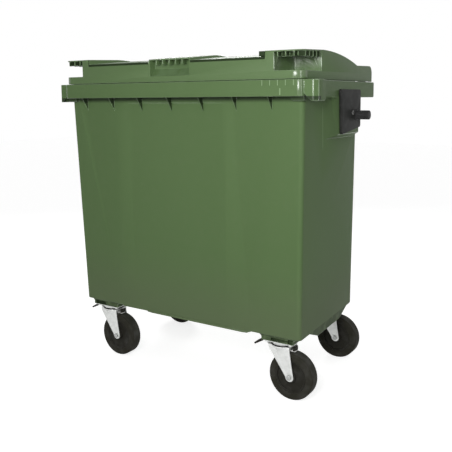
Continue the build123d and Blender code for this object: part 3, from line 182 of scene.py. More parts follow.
bpy.ops.object.select_all(action="DESELECT")
bpy.ops.object.camera_add(location=CAMERA_PLACE)
camera = bpy.context.object
camera.name = "studio_camera"
forward = Vector((-sin(CAMERA_YAW) * cos(CAMERA_PITCH), cos(CAMERA_YAW) * cos(CAMERA_PITCH),
                  -sin(CAMERA_PITCH)))
level_right = Vector((cos(CAMERA_YAW), sin(CAMERA_YAW), 0))
level_up = level_right.cross(forward)
right = level_right * cos(CAMERA_ROLL) + level_up * sin(CAMERA_ROLL)
up = level_up * cos(CAMERA_ROLL) - level_right * sin(CAMERA_ROLL)
camera.rotation_euler = Matrix((right, up, -forward)).transposed().to_euler()
camera.data.lens = CAMERA_LENS
camera.data.sensor_width = CAMERA_SENSOR
camera.data.shift_y = CAMERA_SHIFT_Y
camera.data.clip_end = CAMERA_REACH
bpy.context.scene.camera = camera
print("camera looks along", [round(value, 3) for value in forward])

# %% [markdown]
# ## Shader maths as Python
#
# A procedural finish is arithmetic on patterns: a bit more of this colour where that noise is
# high. Wrapping a socket in a small class lets that arithmetic be written as plain
# expressions, and each operator adds the Math node it stands for.

# %% Socket wrapper


class Value:
    """A number or a colour that changes over a surface."""

    def __init__(self, finish, socket):
        self.finish = finish
        self.socket = socket

    def math(self, operation, *others):
        """Adds one Math node."""
        return self.finish.node("ShaderNodeMath", {"operation": operation}, self, *others)

    def __add__(self, other):
        return self.math("ADD", other)

    __radd__ = __add__

    def __mul__(self, other):
        return self.math("MULTIPLY", other)

    __rmul__ = __mul__

    def __sub__(self, other):
        return self.math("SUBTRACT", other)

    def __rsub__(self, other):
        return self * -1 + other

    def clamp(self):
        """Keeps a number between 0 and 1."""
        return self.finish.node("ShaderNodeClamp", {}, self)


# %% Finish builder
MIX_AMOUNT, MIX_ONE, MIX_OTHER, MIX_RESULT = 0, 6, 7, 2


class Finish:
    """A material under construction, with Object coordinates to paint by."""

    def __init__(self, name, gloss=0.5, **settings):
        self.material = bpy.data.materials.new(name)
        self.material.use_nodes = True
        self.tree = self.material.node_tree
        self.shader = self.tree.nodes["Principled BSDF"]
        self.shader.inputs["Specular IOR Level"].default_value = gloss
        for setting, value in settings.items():
            self.shader.inputs[setting.replace("_", " ").title()].default_value = value
        coordinates = self.tree.nodes.new("ShaderNodeTexCoord")
        self.place = Value(self, coordinates.outputs["Object"])

    def fill(self, socket, value):
        """Links a value to a socket, or writes a number or a colour into it."""
        if isinstance(value, Value):
            self.tree.links.new(value.socket, socket)
        else:
            socket.default_value = value

    def node(self, kind, settings, *values, output=0, **links):
        """Adds a node, sets it up, fills its sockets and returns one output."""
        made = self.tree.nodes.new(kind)
        for setting, value in settings.items():
            setattr(made, setting, value)
        for place, value in [*enumerate(values), *links.items()]:
            self.fill(made.inputs[place], value)
        return Value(self, made.outputs[output])

    def noise(self, scale, detail, seed, along=(1, 1, 1)):
        """Soft random blotches between 0 and 1, so many to the metre, stretched along axes."""
        place = self.node("ShaderNodeMapping", {}, Vector=self.place, Scale=along)
        return self.node("ShaderNodeTexNoise", {"noise_dimensions": "4D"}, Vector=place,
                         W=seed, Scale=scale, Detail=detail)

    def ramp(self, value, low, high):
        """A smooth step from 0 at low to 1 at high."""
        return self.node("ShaderNodeMapRange", {"interpolation_type": "SMOOTHSTEP"},
                         value, low, high, 0.0, 1.0)

    def between(self, value, start, full, fade, end):
        """A mask that rises from 0 at start to 1 at full, and falls from fade to 0 at end."""
        return self.ramp(value, start, full) * self.ramp(value, end, fade)

    def axis(self, name):
        """The place on the surface along X, Y or Z."""
        return self.node("ShaderNodeSeparateXYZ", {}, self.place, output=name)

    def mix(self, amount, one, other):
        """One colour turning into another."""
        made = self.tree.nodes.new("ShaderNodeMix")
        made.data_type = "RGBA"
        for place, value in ((MIX_AMOUNT, amount), (MIX_ONE, one), (MIX_OTHER, other)):
            self.fill(made.inputs[place], (*value, 1.0) if isinstance(value, tuple) else value)
        return Value(self, made.outputs[MIX_RESULT])

    def paint(self, name, value):
        """Links a value to one of the shader's sockets."""
        self.fill(self.shader.inputs[name], value)

    def bump(self, height, distance, strength):
        """Turns a height pattern into small tilts of the surface."""
        self.paint("Normal", self.node("ShaderNodeBump", {}, Strength=strength,
                                       Distance=distance, Height=height))


# %% [markdown]
# ## Moulded green plastic
#
# The tub and the lid are injection moulded in polyethylene. It has a satin gloss with a fine
# grain, long faint flow streaks down the walls, and walls that are never quite flat, so
# highlights wander on them. Grime settles towards the bottom.
#
# Some places get painted light: a painted highlight along the front edge of the blank field on
# the right side, on the tops of the short ribs at the collar's right end and on one edge of the
# blank frame below them, and painted shade on the castor pads and on the wall just under the
# collar. These marks have no thickness, so masks in the finish give them and no piece is added.
# The form of the ribs comes later, with the hollows of the tub.

# %% Colours and places of the green plastic
GREEN = (0.104, 0.172, 0.068)
GREEN_PALE = (0.126, 0.200, 0.086)
GREEN_GRIMY = (0.128, 0.166, 0.090)
# The pale rubbed green serves both worn edges and a painted highlight. The shine green below is
# for painted highlights, and the deepest green for painted shade.
GREEN_WEAR_AND_HIGHLIGHT = (0.165, 0.255, 0.125)
GREEN_PAINTED_HIGHLIGHT = (0.300, 0.420, 0.240)
GREEN_PAINTED_SHADE = (0.020, 0.031, 0.015)

# Four places in metres say where a mask starts, is full, starts to fade and ends.
FIELD_LINE = -0.0587
FIELD_LINE_LEAN = 0.0863
FIELD_LINE_FADES = (-4.5 * MM, -2.5 * MM, 2.5 * MM, 4.5 * MM)
FIELD_LINE_HEIGHTS = (1.020, 1.050, 1.195, 1.215)
RIB_START = 0.440
RIB_PITCH = 0.033
RIB_SPAN = (0.430, 0.434, 0.576, 0.580)
RIB_HEIGHTS = (1.288, 1.290, 1.3085, 1.3095)
FRAME_SPAN = (0.5125, 0.5140, 0.5170, 0.5185)
FRAME_HEIGHTS = (1.2525, 1.2540, 1.2780, 1.2795)
EAVES_HEIGHTS = (1.222, 1.240, 1.2475, 1.2495)

# Two places say where a smooth step is 0 and where it is 1.
GRIME_HEIGHTS = (0.62, 0.24)
RIGHT_WALL = (0.55, 0.56)
RIB_EDGE = (2.4 * MM, 1.2 * MM)
COLLAR_FACE = (-0.390, -0.392)
PAD_HEIGHTS = (0.279, 0.276)
PAD_SPAN = (0.37, 0.39)
UPPER_FRONT = (-0.335, -0.345)

# How much of a mask's colour shows: painted highlights on the field edge and the collar, and
# painted shade on the pads and under the collar.
FIELD_HIGHLIGHT_STRENGTH = 0.75
COLLAR_HIGHLIGHT_STRENGTH = 0.65
PAD_SHADE_STRENGTH = 0.55
EAVES_SHADE_STRENGTH = 0.85

# %% Masks of the green plastic


def field_edge_highlight(finish, across, depth, height):
    """A painted highlight on the front edge of the right side's blank field, leaning with the
    wall.
    """
    lean = depth + height * FIELD_LINE_LEAN
    return (finish.between(lean, *(FIELD_LINE + fade for fade in FIELD_LINE_FADES))
            * finish.between(height, *FIELD_LINE_HEIGHTS)
            * finish.ramp(across, *RIGHT_WALL))


def collar_painted_highlights(finish, across, depth, height):
    """Painted highlights on the short ribs at the collar's right end and one edge of the frame
    below.
    """
    from_rib = (across - RIB_START).math("PINGPONG", RIB_PITCH / 2)
    ribs = (finish.ramp(from_rib, *RIB_EDGE) * finish.between(across, *RIB_SPAN)
            * finish.between(height, *RIB_HEIGHTS))
    edge = finish.between(across, *FRAME_SPAN) * finish.between(height, *FRAME_HEIGHTS)
    return (ribs + edge) * finish.ramp(depth, *COLLAR_FACE)


def pads(finish, across, height):
    """Painted shade on the four castor pads below the floor."""
    return finish.ramp(height, *PAD_HEIGHTS) * finish.ramp(across.math("ABSOLUTE"), *PAD_SPAN)


def eaves_shade(finish, depth, height):
    """Painted shade on the front wall just under the collar."""
    return finish.between(height, *EAVES_HEIGHTS) * finish.ramp(depth, *UPPER_FRONT)


# %% Green plastic


def green_plastic(name, seed, gloss=0.08, rubbed=0.0, shade_paint=0.0, polish=0.0):
    """Satin green, with worn pale edges, polished corners, painted shade and painted highlights.
    """
    finish = Finish(name, gloss)
    across, depth, height = (finish.axis(axis) for axis in "XYZ")
    streaks = finish.noise(2.2, detail=2.0, along=(1, 1, 0.12), seed=seed)
    mottle = finish.noise(26.0, detail=4.0, seed=seed + 3)
    grain = finish.noise(900.0, detail=2.0, seed=seed + 5)
    walls = finish.noise(3.1, detail=1.0, seed=seed + 7)
    scuffs = finish.noise(55.0, detail=5.0, along=(1, 1, 0.15), seed=seed + 9)
    scratches = finish.noise(140.0, detail=3.0, along=(1, 1, 0.04), seed=seed + 11)
    worn = finish.ramp(scuffs, 0.60, 0.78)
    low = finish.ramp(height, *GRIME_HEIGHTS)
    tone = finish.mix(finish.ramp(streaks, 0.35, 0.68) * 0.22, GREEN, GREEN_PALE)
    tone = finish.mix(finish.ramp(mottle, 0.42, 0.75) * 0.10, tone, GREEN_PALE)
    tone = finish.mix(low * 0.70 + finish.ramp(mottle, 0.5, 0.7) * 0.06, tone, GREEN_GRIMY)
    tone = finish.mix(worn * 0.12 + finish.ramp(scratches, 0.66, 0.76) * 0.10, tone, GREEN_PALE)
    if rubbed:
        tone = finish.mix(finish.ramp(mottle, 0.30, 0.60) * rubbed, tone, GREEN_WEAR_AND_HIGHLIGHT)
    # Painted highlight along the front edge of the right side's blank field.
    tone = finish.mix(field_edge_highlight(finish, across, depth, height) * FIELD_HIGHLIGHT_STRENGTH, tone,
                      GREEN_WEAR_AND_HIGHLIGHT)
    # Painted highlights on the collar's short ribs and on one edge of the blank frame.
    tone = finish.mix(collar_painted_highlights(finish, across, depth, height) * COLLAR_HIGHLIGHT_STRENGTH, tone,
                      GREEN_PAINTED_HIGHLIGHT)
    # Painted shade on the castor pads, broken up by the mottle.
    tone = finish.mix(pads(finish, across, height) * finish.ramp(mottle, 0.25, 0.60) * PAD_SHADE_STRENGTH,
                      tone, GREEN_PAINTED_SHADE)
    # Painted shade under the collar's front, and over every face of the shaded finishes.
    shade_mix = eaves_shade(finish, depth, height) * EAVES_SHADE_STRENGTH + mottle * 0.2 * shade_paint + shade_paint
    finish.paint("Base Color", finish.mix(shade_mix.clamp(), tone, GREEN_PAINTED_SHADE))
    finish.paint("Roughness", mottle * 0.10 + worn * 0.08 + low * 0.06
                 + (0.44 - 0.32 * max(rubbed, polish)))
    finish.bump(walls + grain * 0.045 + scuffs * 0.02, 1.2 * MM, 0.6)
    return finish.material


# %% The finishes of the tub and the lid
# The fourth finish of the tub and of the lid is painted shade, almost black, for faces where
# shade falls.
PLAIN, WORN, CORNER, PAINTED_SHADE_FINISH, MATT = range(5)
SCOOP = MATT
TUB_SEED = 1.0
LID_SEED = 21.0

tub_finishes = (
    green_plastic("tub_green", TUB_SEED),
    green_plastic("tub_green_edges", TUB_SEED, gloss=0.7, rubbed=0.8),
    green_plastic("tub_green_corners", TUB_SEED, gloss=0.6, polish=0.8),
    green_plastic("tub_green_hollows", TUB_SEED, gloss=0.03, shade_paint=0.68),
    green_plastic("tub_green_matt", TUB_SEED, gloss=0.04),
)
lid_finishes = (
    green_plastic("lid_green", LID_SEED, gloss=0.16),
    green_plastic("lid_green_edges", LID_SEED, gloss=0.7, rubbed=0.8),
    green_plastic("lid_green_corners", LID_SEED, gloss=0.6, polish=0.8),
    green_plastic("lid_green_hollows", LID_SEED, gloss=0.03, shade_paint=0.8),
    green_plastic("lid_green_scoop", LID_SEED, gloss=0.16, rubbed=0.6),
)
print("green finishes:", [material.name for material in tub_finishes + lid_finishes])

# %% [markdown]
# ## Other finishes
#
# Zinc plate is bright, a little blue, and softly mottled where the crystals differ. Black
# plastic and rubber are dark greys, never pure black: the rubber is duller and dusty, and the
# glass-filled plastic has a satin grain.

# %% Zinc, black plastic, rubber and the rest
DULL_ZINC = 0.88
DUST = 0.05


def zinc(name, colour, roughness, seed, metallic=0.85):
    """Zinc plate, with duller patches and a faint upright brushing."""
    finish = Finish(name, metallic=metallic)
    patches = finish.noise(60.0, detail=3.0, seed=seed)
    specks = finish.noise(420.0, detail=2.0, seed=seed + 2)
    brushed = finish.noise(260.0, detail=2.0, along=(1, 1, 0.08), seed=seed + 4)
    dull = tuple(channel * DULL_ZINC for channel in colour)
    finish.paint("Base Color", finish.mix(finish.ramp(patches, 0.35, 0.7), colour, dull))
    finish.paint("Roughness", patches * 0.16 + specks * 0.06 + (roughness - 0.1))
    finish.bump(brushed * 0.5 + specks * 0.5, 0.06 * MM, 0.5)
    return finish.material


def dark_plastic(name, colour, roughness, grain_scale, seed, dust=0.12, gloss=0.05):
    """Grained plastic, paint or rubber, with clouds of dust."""
    finish = Finish(name, gloss)
    cloud = finish.noise(22.0, detail=4.0, seed=seed)
    grain = finish.noise(grain_scale, detail=2.0, seed=seed + 2)
    dusty = tuple(channel + DUST for channel in colour)
    dust_mask = finish.ramp(cloud, 0.4, 0.75) * dust * 4
    finish.paint("Base Color", finish.mix(dust_mask, colour, dusty))
    finish.paint("Roughness", cloud * 0.18 + (roughness - 0.09))
    finish.bump(grain, 0.10 * MM, 0.4)
    return finish.material


finishes = {
    "zinc_steel": zinc("zinc_plate", (0.72, 0.73, 0.715), 0.40, 31.0, metallic=0.6),
    "ball_steel": zinc("ball_steel", (0.70, 0.70, 0.70), 0.22, 35.0),
    "dark_metal": dark_plastic("coated_steel", (0.036, 0.036, 0.036), 0.42, 700.0, 41.0),
    "grey_plastic": dark_plastic("grey_plastic", (0.026, 0.027, 0.025), 0.48, 800.0, 43.0),
    "black_plastic": dark_plastic("black_plastic", (0.025, 0.024, 0.019), 0.50, 900.0, 47.0),
    "tyre_rubber": dark_plastic("tyre_rubber", (0.029, 0.028, 0.021), 0.66, 600.0, 53.0),
    "seal_rubber": dark_plastic("seal_rubber", (0.018, 0.018, 0.018), 0.70, 600.0, 59.0),
}
dusty_tread = dark_plastic("tyre_tread", (0.045, 0.044, 0.036), 0.70, 500.0, 57.0, dust=0.2)
lever_zinc = zinc("lever_zinc", (0.80, 0.80, 0.78), 0.42, 33.0, metallic=0.3)
bolt_zinc = zinc("bolt_zinc", (0.42, 0.43, 0.42), 0.35, 37.0, metallic=0.6)
screw_grey = dark_plastic("screw_grey", (0.13, 0.13, 0.125), 0.40, 700.0, 39.0, gloss=0.5)

# %% Finishes on the construction nodes
slots = {row["node"]: row["material_slot"] for row in frame["record"]["subparts"]}


def coat(piece, *materials):
    """Gives a piece its finishes, the plain one first."""
    piece.data.materials.clear()
    for material in materials:
        piece.data.materials.append(material)


for name, node in nodes.items():
    if slots[name] in finishes:
        coat(node, finishes[slots[name]])
coat(nodes["trunnion_screws"], screw_grey)
print("finishes:", sorted(finishes))

# %% [markdown]
# ## Rounding the mouldings
#
# A construction model has knife-sharp edges, and no real moulding does. The rounded edge is
# what catches the light along the collar and round the grips. A copy of each piece has its
# loose triangles merged, its flat areas joined into single faces, and its edges bevelled. The
# bevel modifier can give its new faces a second finish, and that is where a moulding wears:
# the edges get rubbed pale and a little shinier.

# %% Rounded copies of construction nodes
MERGE_DISTANCE = 0.01 * MM
FLAT_WITHIN = radians(0.5)


def opened_copy(node_name, ending):
    """A copy of a construction node with whole faces in place of loose triangles."""
    pick(nodes[node_name])
    bpy.ops.object.duplicate()
    piece = bpy.context.object
    piece.name = node_name + ending
    piece.parent = None
    for key in list(piece.keys()):
        del piece[key]
    edit(piece)
    bpy.ops.mesh.select_all(action="SELECT")
    bpy.ops.mesh.remove_doubles(threshold=MERGE_DISTANCE)
    bpy.ops.mesh.dissolve_limited(angle_limit=FLAT_WITHIN)
    done()
    pick(piece)
    if piece.data.has_custom_normals:
        bpy.ops.mesh.customdata_custom_splitnormals_clear()
    return piece


def stand_in(piece, node_name):
    """Makes a dressed copy ride with its construction node's body, and hides that node."""
    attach(piece, body_of(nodes[node_name])[0])
    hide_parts(node_name)
    print(piece.name, len(piece.data.polygons), "faces")
    return piece


def rounded(piece, width, segments=2, angle=35):
    """Bevels every edge sharper than an angle; the new faces take the worn finish, if any."""
    worn = WORN if len(piece.data.materials) > WORN else -1
    modify(piece, "BEVEL", width=width, segments=segments, limit_method="ANGLE",
           angle_limit=radians(angle), use_clamp_overlap=False, miter_outer="MITER_ARC",
           material=worn)
    smooth(piece)


# %% Larger radii and other finishes by place
SHARP = radians(40)
PLUMB = 0.99
CORNER_SEGMENTS = 5


def upright(edge):
    """True for an edge within a few degrees of plumb."""
    run = edge.verts[1].co - edge.verts[0].co
    return abs(run.z) > PLUMB * run.length


def soften(piece, rule, radius):
    """Gives chosen upright edges a larger, worn radius."""
    edit(piece)
    count = select("edges", lambda edge: upright(edge) and len(edge.link_faces) == 2
                   and edge.calc_face_angle(0.0) > SHARP and rule(middle(edge)))
    if count:
        bpy.ops.mesh.bevel(offset=radius, segments=CORNER_SEGMENTS, affect="EDGES",
                           clamp_overlap=True, material=WORN)
    done()
    print(piece.name, "has", count, "edges of radius", radius)


def repaint(piece, finish_place, rule):
    """Gives the faces that pass a rule another of the piece's finishes."""
    edit(piece)
    count = select("faces", rule)
    piece.active_material_index = finish_place
    bpy.ops.object.material_slot_assign()
    done()
    print(piece.name, "has", count, "faces repainted with finish", finish_place)


# %% [markdown]
# ### Tub
#
# The tub is one moulding, with a collar round its top and a row of gussets under it. Its
# upright corners that show from the front have a larger radius than the rest, because the
# mould needs it there for strength, and each is a bright line in the photograph. The gussets'
# sides get painted shade and look almost black. Each place is found by a rule on where its
# faces are and which way they look, as somebody would pick them by eye.

# %% Places on the tub
COLLAR_FRONT = -0.394
COLLAR_BOTTOM = 1.247
COLLAR_CORNER_X = 0.58
COLLAR_CORNER_FRONT = -0.371
GUSSET_HALF_SPAN = 0.55
GUSSET_FRONT = -0.33
GUSSET_LOW = (1.18, 1.20)
FIELD_X = 0.585
FIELD_FRONT = -0.05
FIELD_SLOPE_HEIGHTS = (1.055, 1.095)
FIELD_EDGE_HEIGHTS = (1.03, 1.15)
EAR_INNER = 0.62
EAR_FRONT = -0.355
EAR_LOW = 1.20
LEFT_EAR_X = -0.60
LEFT_EAR_FRONT = -0.15


def round_corner(face):
    """True for an upright face that looks partly forward and partly to a side."""
    return (abs(face.normal.z) < 0.2 and abs(face.normal.x) > 0.1
            and face.normal.y < -0.05)


def gusset_side(face):
    """The right side of a gusset under the front of the collar."""
    return (face.normal.x > 0.9 and abs(middle(face).x) < GUSSET_HALF_SPAN
            and reach(face, "y")[1] < GUSSET_FRONT and inside(reach(face, "z")[0], GUSSET_LOW))


def field_slope(face):
    """The slope under the blank field on the right side."""
    at = middle(face)
    return face.normal.z < -0.2 and at.x > FIELD_X and inside(at.z, FIELD_SLOPE_HEIGHTS)


def collar_corner(face):
    """The round front corners of the collar."""
    at = middle(face)
    return (round_corner(face) and at.y < COLLAR_CORNER_FRONT and at.z > COLLAR_BOTTOM
            and abs(at.x) > COLLAR_CORNER_X)


def ear_corner(at):
    """The front uprights of the ears at both ends of the collar."""
    return at.z > EAR_LOW and at.y < EAR_FRONT and abs(at.x) > EAR_INNER


def left_ear_edge(face):
    """The worn edges of the left ear, which looks plain in the photograph."""
    at = middle(face)
    return (face.material_index == WORN and at.x < LEFT_EAR_X and at.y < LEFT_EAR_FRONT
            and at.z > EAR_LOW)


def field_edge(face):
    """The worn edges round the lower end of the right side's blank field."""
    at = middle(face)
    return (face.material_index == WORN and at.x > FIELD_X and at.y < FIELD_FRONT
            and inside(at.z, FIELD_EDGE_HEIGHTS))


# %% Tub
EDGE_RADIUS = 1.6 * MM
EAR_RADIUS = 7.0 * MM

tub = opened_copy("tub", "_moulding")
coat(tub, *tub_finishes)
# The gussets' right sides get painted shade.
repaint(tub, PAINTED_SHADE_FINISH, gusset_side)
repaint(tub, MATT, field_slope)
repaint(tub, CORNER, collar_corner)
soften(tub, ear_corner, EAR_RADIUS)
rounded(tub, EDGE_RADIUS)
repaint(tub, PLAIN, left_ear_edge)
repaint(tub, MATT, field_edge)

# %% [markdown]
# ### Hollows of the tub
#
# The right end of the collar has a row of short ribs with a blank frame below them, and the
# castor pads have hollows in front whose insides get painted shade. Adding five thin ribs
# would leave thin seams, so the
# hollows between them are sunk into the wall instead, each with one Boolean cut by a box. A
# cut into a closed shell stays closed.

# %% Hollows of the tub
RIB_COUNT = 5
RIB_WIDTH = 0.004
RIB_LOW, RIB_HIGH = 1.288, 1.3075
HOLLOW_DEPTH = 1.5 * MM
COLLAR_OVERRUN = 0.01
FRAME_PLACE = ((0.515, 0.583), (1.253, 1.279))
PAD_FRONT = -0.313
PAD_OVERRUN = 0.03
PAD_HOLLOW_DEPTH = 9 * MM
PAD_HOLLOWS = (((0.436, 0.472), (0.2500, 0.2640)), ((0.513, 0.535), (0.2510, 0.2680)),
               ((-0.525, -0.465), (0.2500, 0.2660)))
PAD_HOLLOW_INNER = 0.43
PAD_HOLLOW_TOP = 0.2685
PAD_HOLLOW_HEIGHT = 0.018


def sunk_box(low, high):
    """A cutter between two corners."""
    size = Vector(high) - Vector(low)
    bpy.ops.object.select_all(action="DESELECT")
    bpy.ops.mesh.primitive_cube_add(size=1, location=(Vector(high) + Vector(low)) / 2)
    cutter = bpy.context.object
    cutter.scale = size
    return settle(cutter)


def cut(piece, cutter):
    """Takes a cutter out of a piece and throws the cutter away."""
    modify(piece, "BOOLEAN", operation="DIFFERENCE", object=cutter, solver="MANIFOLD")
    bpy.data.objects.remove(cutter)


def sink(piece, across, heights, front, depth, overrun):
    """Sinks a box into an upright wall that looks forward."""
    cut(piece, sunk_box((across[0], front - overrun, heights[0]),
                        (across[1], front + depth, heights[1])))


def pad_hollow(face):
    """The inner faces of the hollows in the castor pads."""
    low, high = reach(face, "z")
    at = middle(face)
    return (abs(at.x) > PAD_HOLLOW_INNER and at.z < PAD_HOLLOW_TOP
            and high - low < PAD_HOLLOW_HEIGHT
            and PAD_FRONT + MM < at.y < PAD_FRONT + 1.1 * PAD_HOLLOW_DEPTH)


for step in range(RIB_COUNT - 1):
    left = RIB_START + step * RIB_PITCH + RIB_WIDTH / 2
    sink(tub, (left, left + RIB_PITCH - RIB_WIDTH), (RIB_LOW, RIB_HIGH), COLLAR_FRONT,
         HOLLOW_DEPTH, COLLAR_OVERRUN)
for across, heights in PAD_HOLLOWS:
    sink(tub, across, heights, PAD_FRONT, PAD_HOLLOW_DEPTH, PAD_OVERRUN)
sink(tub, *FRAME_PLACE, COLLAR_FRONT, HOLLOW_DEPTH / 2, COLLAR_OVERRUN)
# The insides of the pad hollows get painted shade.
repaint(tub, PAINTED_SHADE_FINISH, pad_hollow)
smooth(tub)
stand_in(tub, "tub")

# %% [markdown]
# ### Lid
#
# The lid has a hand grip in each front corner, where a notch is cut back under a comb of ribs,
# and a scoop with ribs in the middle. A hand slides over each notch's two uprights, so they
# have the largest radius and shine. The spaces between the ribs, the lip along the two lower
# panels and the upper front of the right band get painted shade and look nearly black.

# %% Places on the lid's grips
NOTCH_INNER = 0.490
NOTCH_OUTER = 0.6055
NOTCH_FRONT = -0.3905
NOTCH_REAR = -0.209
NOTCH_WALL_LOW = (1.344, 1.39)
GRIP_BOTTOM = 1.397
BAND_TOP = 1.4155
UPRIGHT_HEIGHTS = (1.33, 1.40)
UPRIGHT_FRONT = -0.385
UPRIGHT_SIDE = 0.600
RIM_CORNER_X = 0.56
RIM_CORNER_FRONT = -0.34
RIM_TOP = 1.35


def in_notch(at):
    """True for a place in front of a notch's rear wall."""
    return abs(at.x) < NOTCH_OUTER and NOTCH_FRONT < at.y < NOTCH_REAR + MM


def notch_wall(face):
    """The walls of the two notches."""
    at = middle(face)
    return (in_notch(at) and abs(at.x) > NOTCH_INNER - MM
            and inside(reach(face, "z")[0], NOTCH_WALL_LOW))


def notch_rib(face):
    """The sides of the ribs over the notches, and the roof between them."""
    at = middle(face)
    return (in_notch(at) and abs(at.x) > NOTCH_INNER
            and reach(face, "z")[0] > GRIP_BOTTOM - MM and at.z < BAND_TOP)


def lid_corner(face):
    """The round front corners of the lid's rim."""
    at = middle(face)
    return (round_corner(face) and at.y < RIM_CORNER_FRONT and at.z < RIM_TOP
            and abs(at.x) > RIM_CORNER_X)


def notch_upright(at):
    """The two uprights of each notch, at its front and at its side."""
    at_front = abs(abs(at.x) - NOTCH_INNER) < 3 * MM and at.y < UPRIGHT_FRONT
    at_side = abs(at.x) > UPRIGHT_SIDE and abs(at.y - NOTCH_REAR) < 4 * MM
    return inside(at.z, UPRIGHT_HEIGHTS) and (at_front or at_side)


# %% Places on the lid's front
SCOOP_EDGE_HALF = 0.115
SCOOP_EDGE_FRONT = -0.34
SCOOP_EDGE_HEIGHTS = (1.32, 1.385)
SCOOP_HALF = 0.105
SCOOP_DEPTHS = (-0.3895, -0.345)
SCOOP_LOW = 1.337
SCOOP_TOP = 1.385
PANEL_SPAN = (0.108, 0.452)
PANEL_FRONT = -0.3885
PANEL_LOW = 1.383
BAND_SPAN = (0.449, 0.489)
BAND_FRONT = -0.386
BAND_LOW = 1.4165


def scoop_edge(face):
    """The rounded edges of the scoop, which look plain in the photograph."""
    at = middle(face)
    return (face.material_index == WORN and abs(at.x) < SCOOP_EDGE_HALF
            and at.y < SCOOP_EDGE_FRONT and inside(at.z, SCOOP_EDGE_HEIGHTS))


def scoop_inside(face):
    """The floor, slope and ends of the scoop."""
    at = middle(face)
    return (face.material_index == PLAIN and abs(at.x) < SCOOP_HALF
            and inside(at.y, SCOOP_DEPTHS) and at.z > SCOOP_LOW
            and reach(face, "z")[1] < SCOOP_TOP)


def panel_lip(face):
    """The lip along the front of the lid's two lower panels."""
    at = middle(face)
    return at.y < PANEL_FRONT and at.z > PANEL_LOW and inside(abs(at.x), PANEL_SPAN)


def band_front(face):
    """The upper front of the right band, between the lower panel and the notch."""
    at = middle(face)
    return at.y < BAND_FRONT and at.z > BAND_LOW and inside(at.x, BAND_SPAN)


# %% Lid
NOTCH_RADIUS = 9.0 * MM

lid = opened_copy("lid", "_moulding")
coat(lid, *lid_finishes)
repaint(lid, CORNER, notch_wall)
# The sides of the ribs over the notches and the roof between them get painted shade.
repaint(lid, PAINTED_SHADE_FINISH, notch_rib)
repaint(lid, CORNER, lid_corner)
soften(lid, notch_upright, NOTCH_RADIUS)
rounded(lid, EDGE_RADIUS)
repaint(lid, PLAIN, scoop_edge)
repaint(lid, SCOOP, scoop_inside)
# The lip along the lower panels and the upper front of the right band get painted shade.
repaint(lid, PAINTED_SHADE_FINISH, panel_lip)
repaint(lid, PAINTED_SHADE_FINISH, band_front)
stand_in(lid, "lid")

# %% [markdown]
# ### Castors, trunnions and pins
#
# Pressed steel has small edge radii, the rubber tyre a large one, and turned pins a fine
# chamfer. One table gives each kind its radius in millimetres, its number of segments and the
# angle in degrees past which an edge counts, and every piece of that kind gets its copy.

# %% The other rounded pieces
TREAD = WORN
ROUNDINGS = {
    "fork": (1.4, 3, 40), "castor_plate": (1.0, 2, 40), "wheel_rim": (1.6, 3, 28),
    "tyre": (2.2, 3, 24), "brake_lever": (1.0, 2, 40), "brake_grips": (1.2, 2, 40),
    "axle_bolt": (0.8, 2, 40), "axle_nut": (0.8, 2, 40), "castor_bolts": (0.7, 2, 40),
    "drain_plug": (1.0, 2, 40), "hinge_pin": (1.0, 2, 40), "trunnion_pin": (1.0, 2, 40),
    "trunnion_plate": (1.8, 3, 40),
}
SPECIAL_FINISHES = {
    "tyre": (finishes["tyre_rubber"], dusty_tread), "brake_lever": (lever_zinc,),
    "axle_bolt": (bolt_zinc,), "axle_nut": (bolt_zinc,),
}


def tread(face):
    """The running surface of a tyre, whose axle lies nearly from front to rear."""
    return abs(face.normal.y) < 0.35


dressed = {}
for name in sorted(nodes):
    kind = next((kind for kind in ROUNDINGS if kind in name), None)
    if kind:
        width, segments, angle = ROUNDINGS[kind]
        piece = opened_copy(name, "_rounded")
        rounded(piece, width * MM, segments, angle)
        if kind in SPECIAL_FINISHES:
            coat(piece, *SPECIAL_FINISHES[kind])
        if kind == "tyre":
            repaint(piece, TREAD, tread)
        dressed[name] = stand_in(piece, name)
print(len(dressed), "rounded pieces")

# %% [markdown]
# ## Lips of the mouldings
#
# The construction leaves out two thin lips that show in the photograph: one at the left end of
# the right grip, dark with painted shade, and a shallow one along the tub's lower front edge.
# Each starts as a
# box between two corners. Its long edges are subdivided, the ends of its lower edge are moved
# in, and it gets a fine bevel, as a moulded lip has.

# %% Lips
LIP_FRONT = -0.394
LIP_BEVEL = 0.5 * MM
LIP_CUTS = 3


def sloped_lip(name, low, high, lean, material, node_name):
    """A thin moulded strip between two corners, whose ends lean in towards its lower edge."""
    piece = sunk_box(low, high)
    piece.name = name
    edit(piece)
    select("edges", lambda edge: abs(edge.verts[0].co.x - edge.verts[1].co.x) > lean)
    bpy.ops.mesh.subdivide(number_cuts=LIP_CUTS)
    bpy.ops.mesh.select_all(action="DESELECT")
    for side, end in ((1, low[0]), (-1, high[0])):
        select("verts", lambda vert: abs(vert.co.x - end) < MM / 10
               and vert.co.z < low[2] + MM / 10)
        bpy.ops.transform.translate(value=(side * lean, 0, 0))
        bpy.ops.mesh.select_all(action="DESELECT")
    done()
    modify(piece, "BEVEL", width=LIP_BEVEL, segments=2, limit_method="ANGLE",
           angle_limit=radians(30))
    smooth(piece)
    coat(piece, material)
    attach(piece, body_of(nodes[node_name])[0])
    print(piece.name, len(piece.data.polygons), "faces")


# This lip carries the lid's painted-shade finish.
sloped_lip("grip_lip", (0.427, LIP_FRONT + 0.2 * MM, 1.4000), (0.4495, -0.3450, 1.4188), 1 * MM,
           lid_finishes[PAINTED_SHADE_FINISH], "lid")
sloped_lip("lower_edge_lip", (-0.200, -0.3225, 0.2635), (0.330, -0.3160, 0.2720), 25 * MM,
           tub_finishes[PLAIN], "tub")

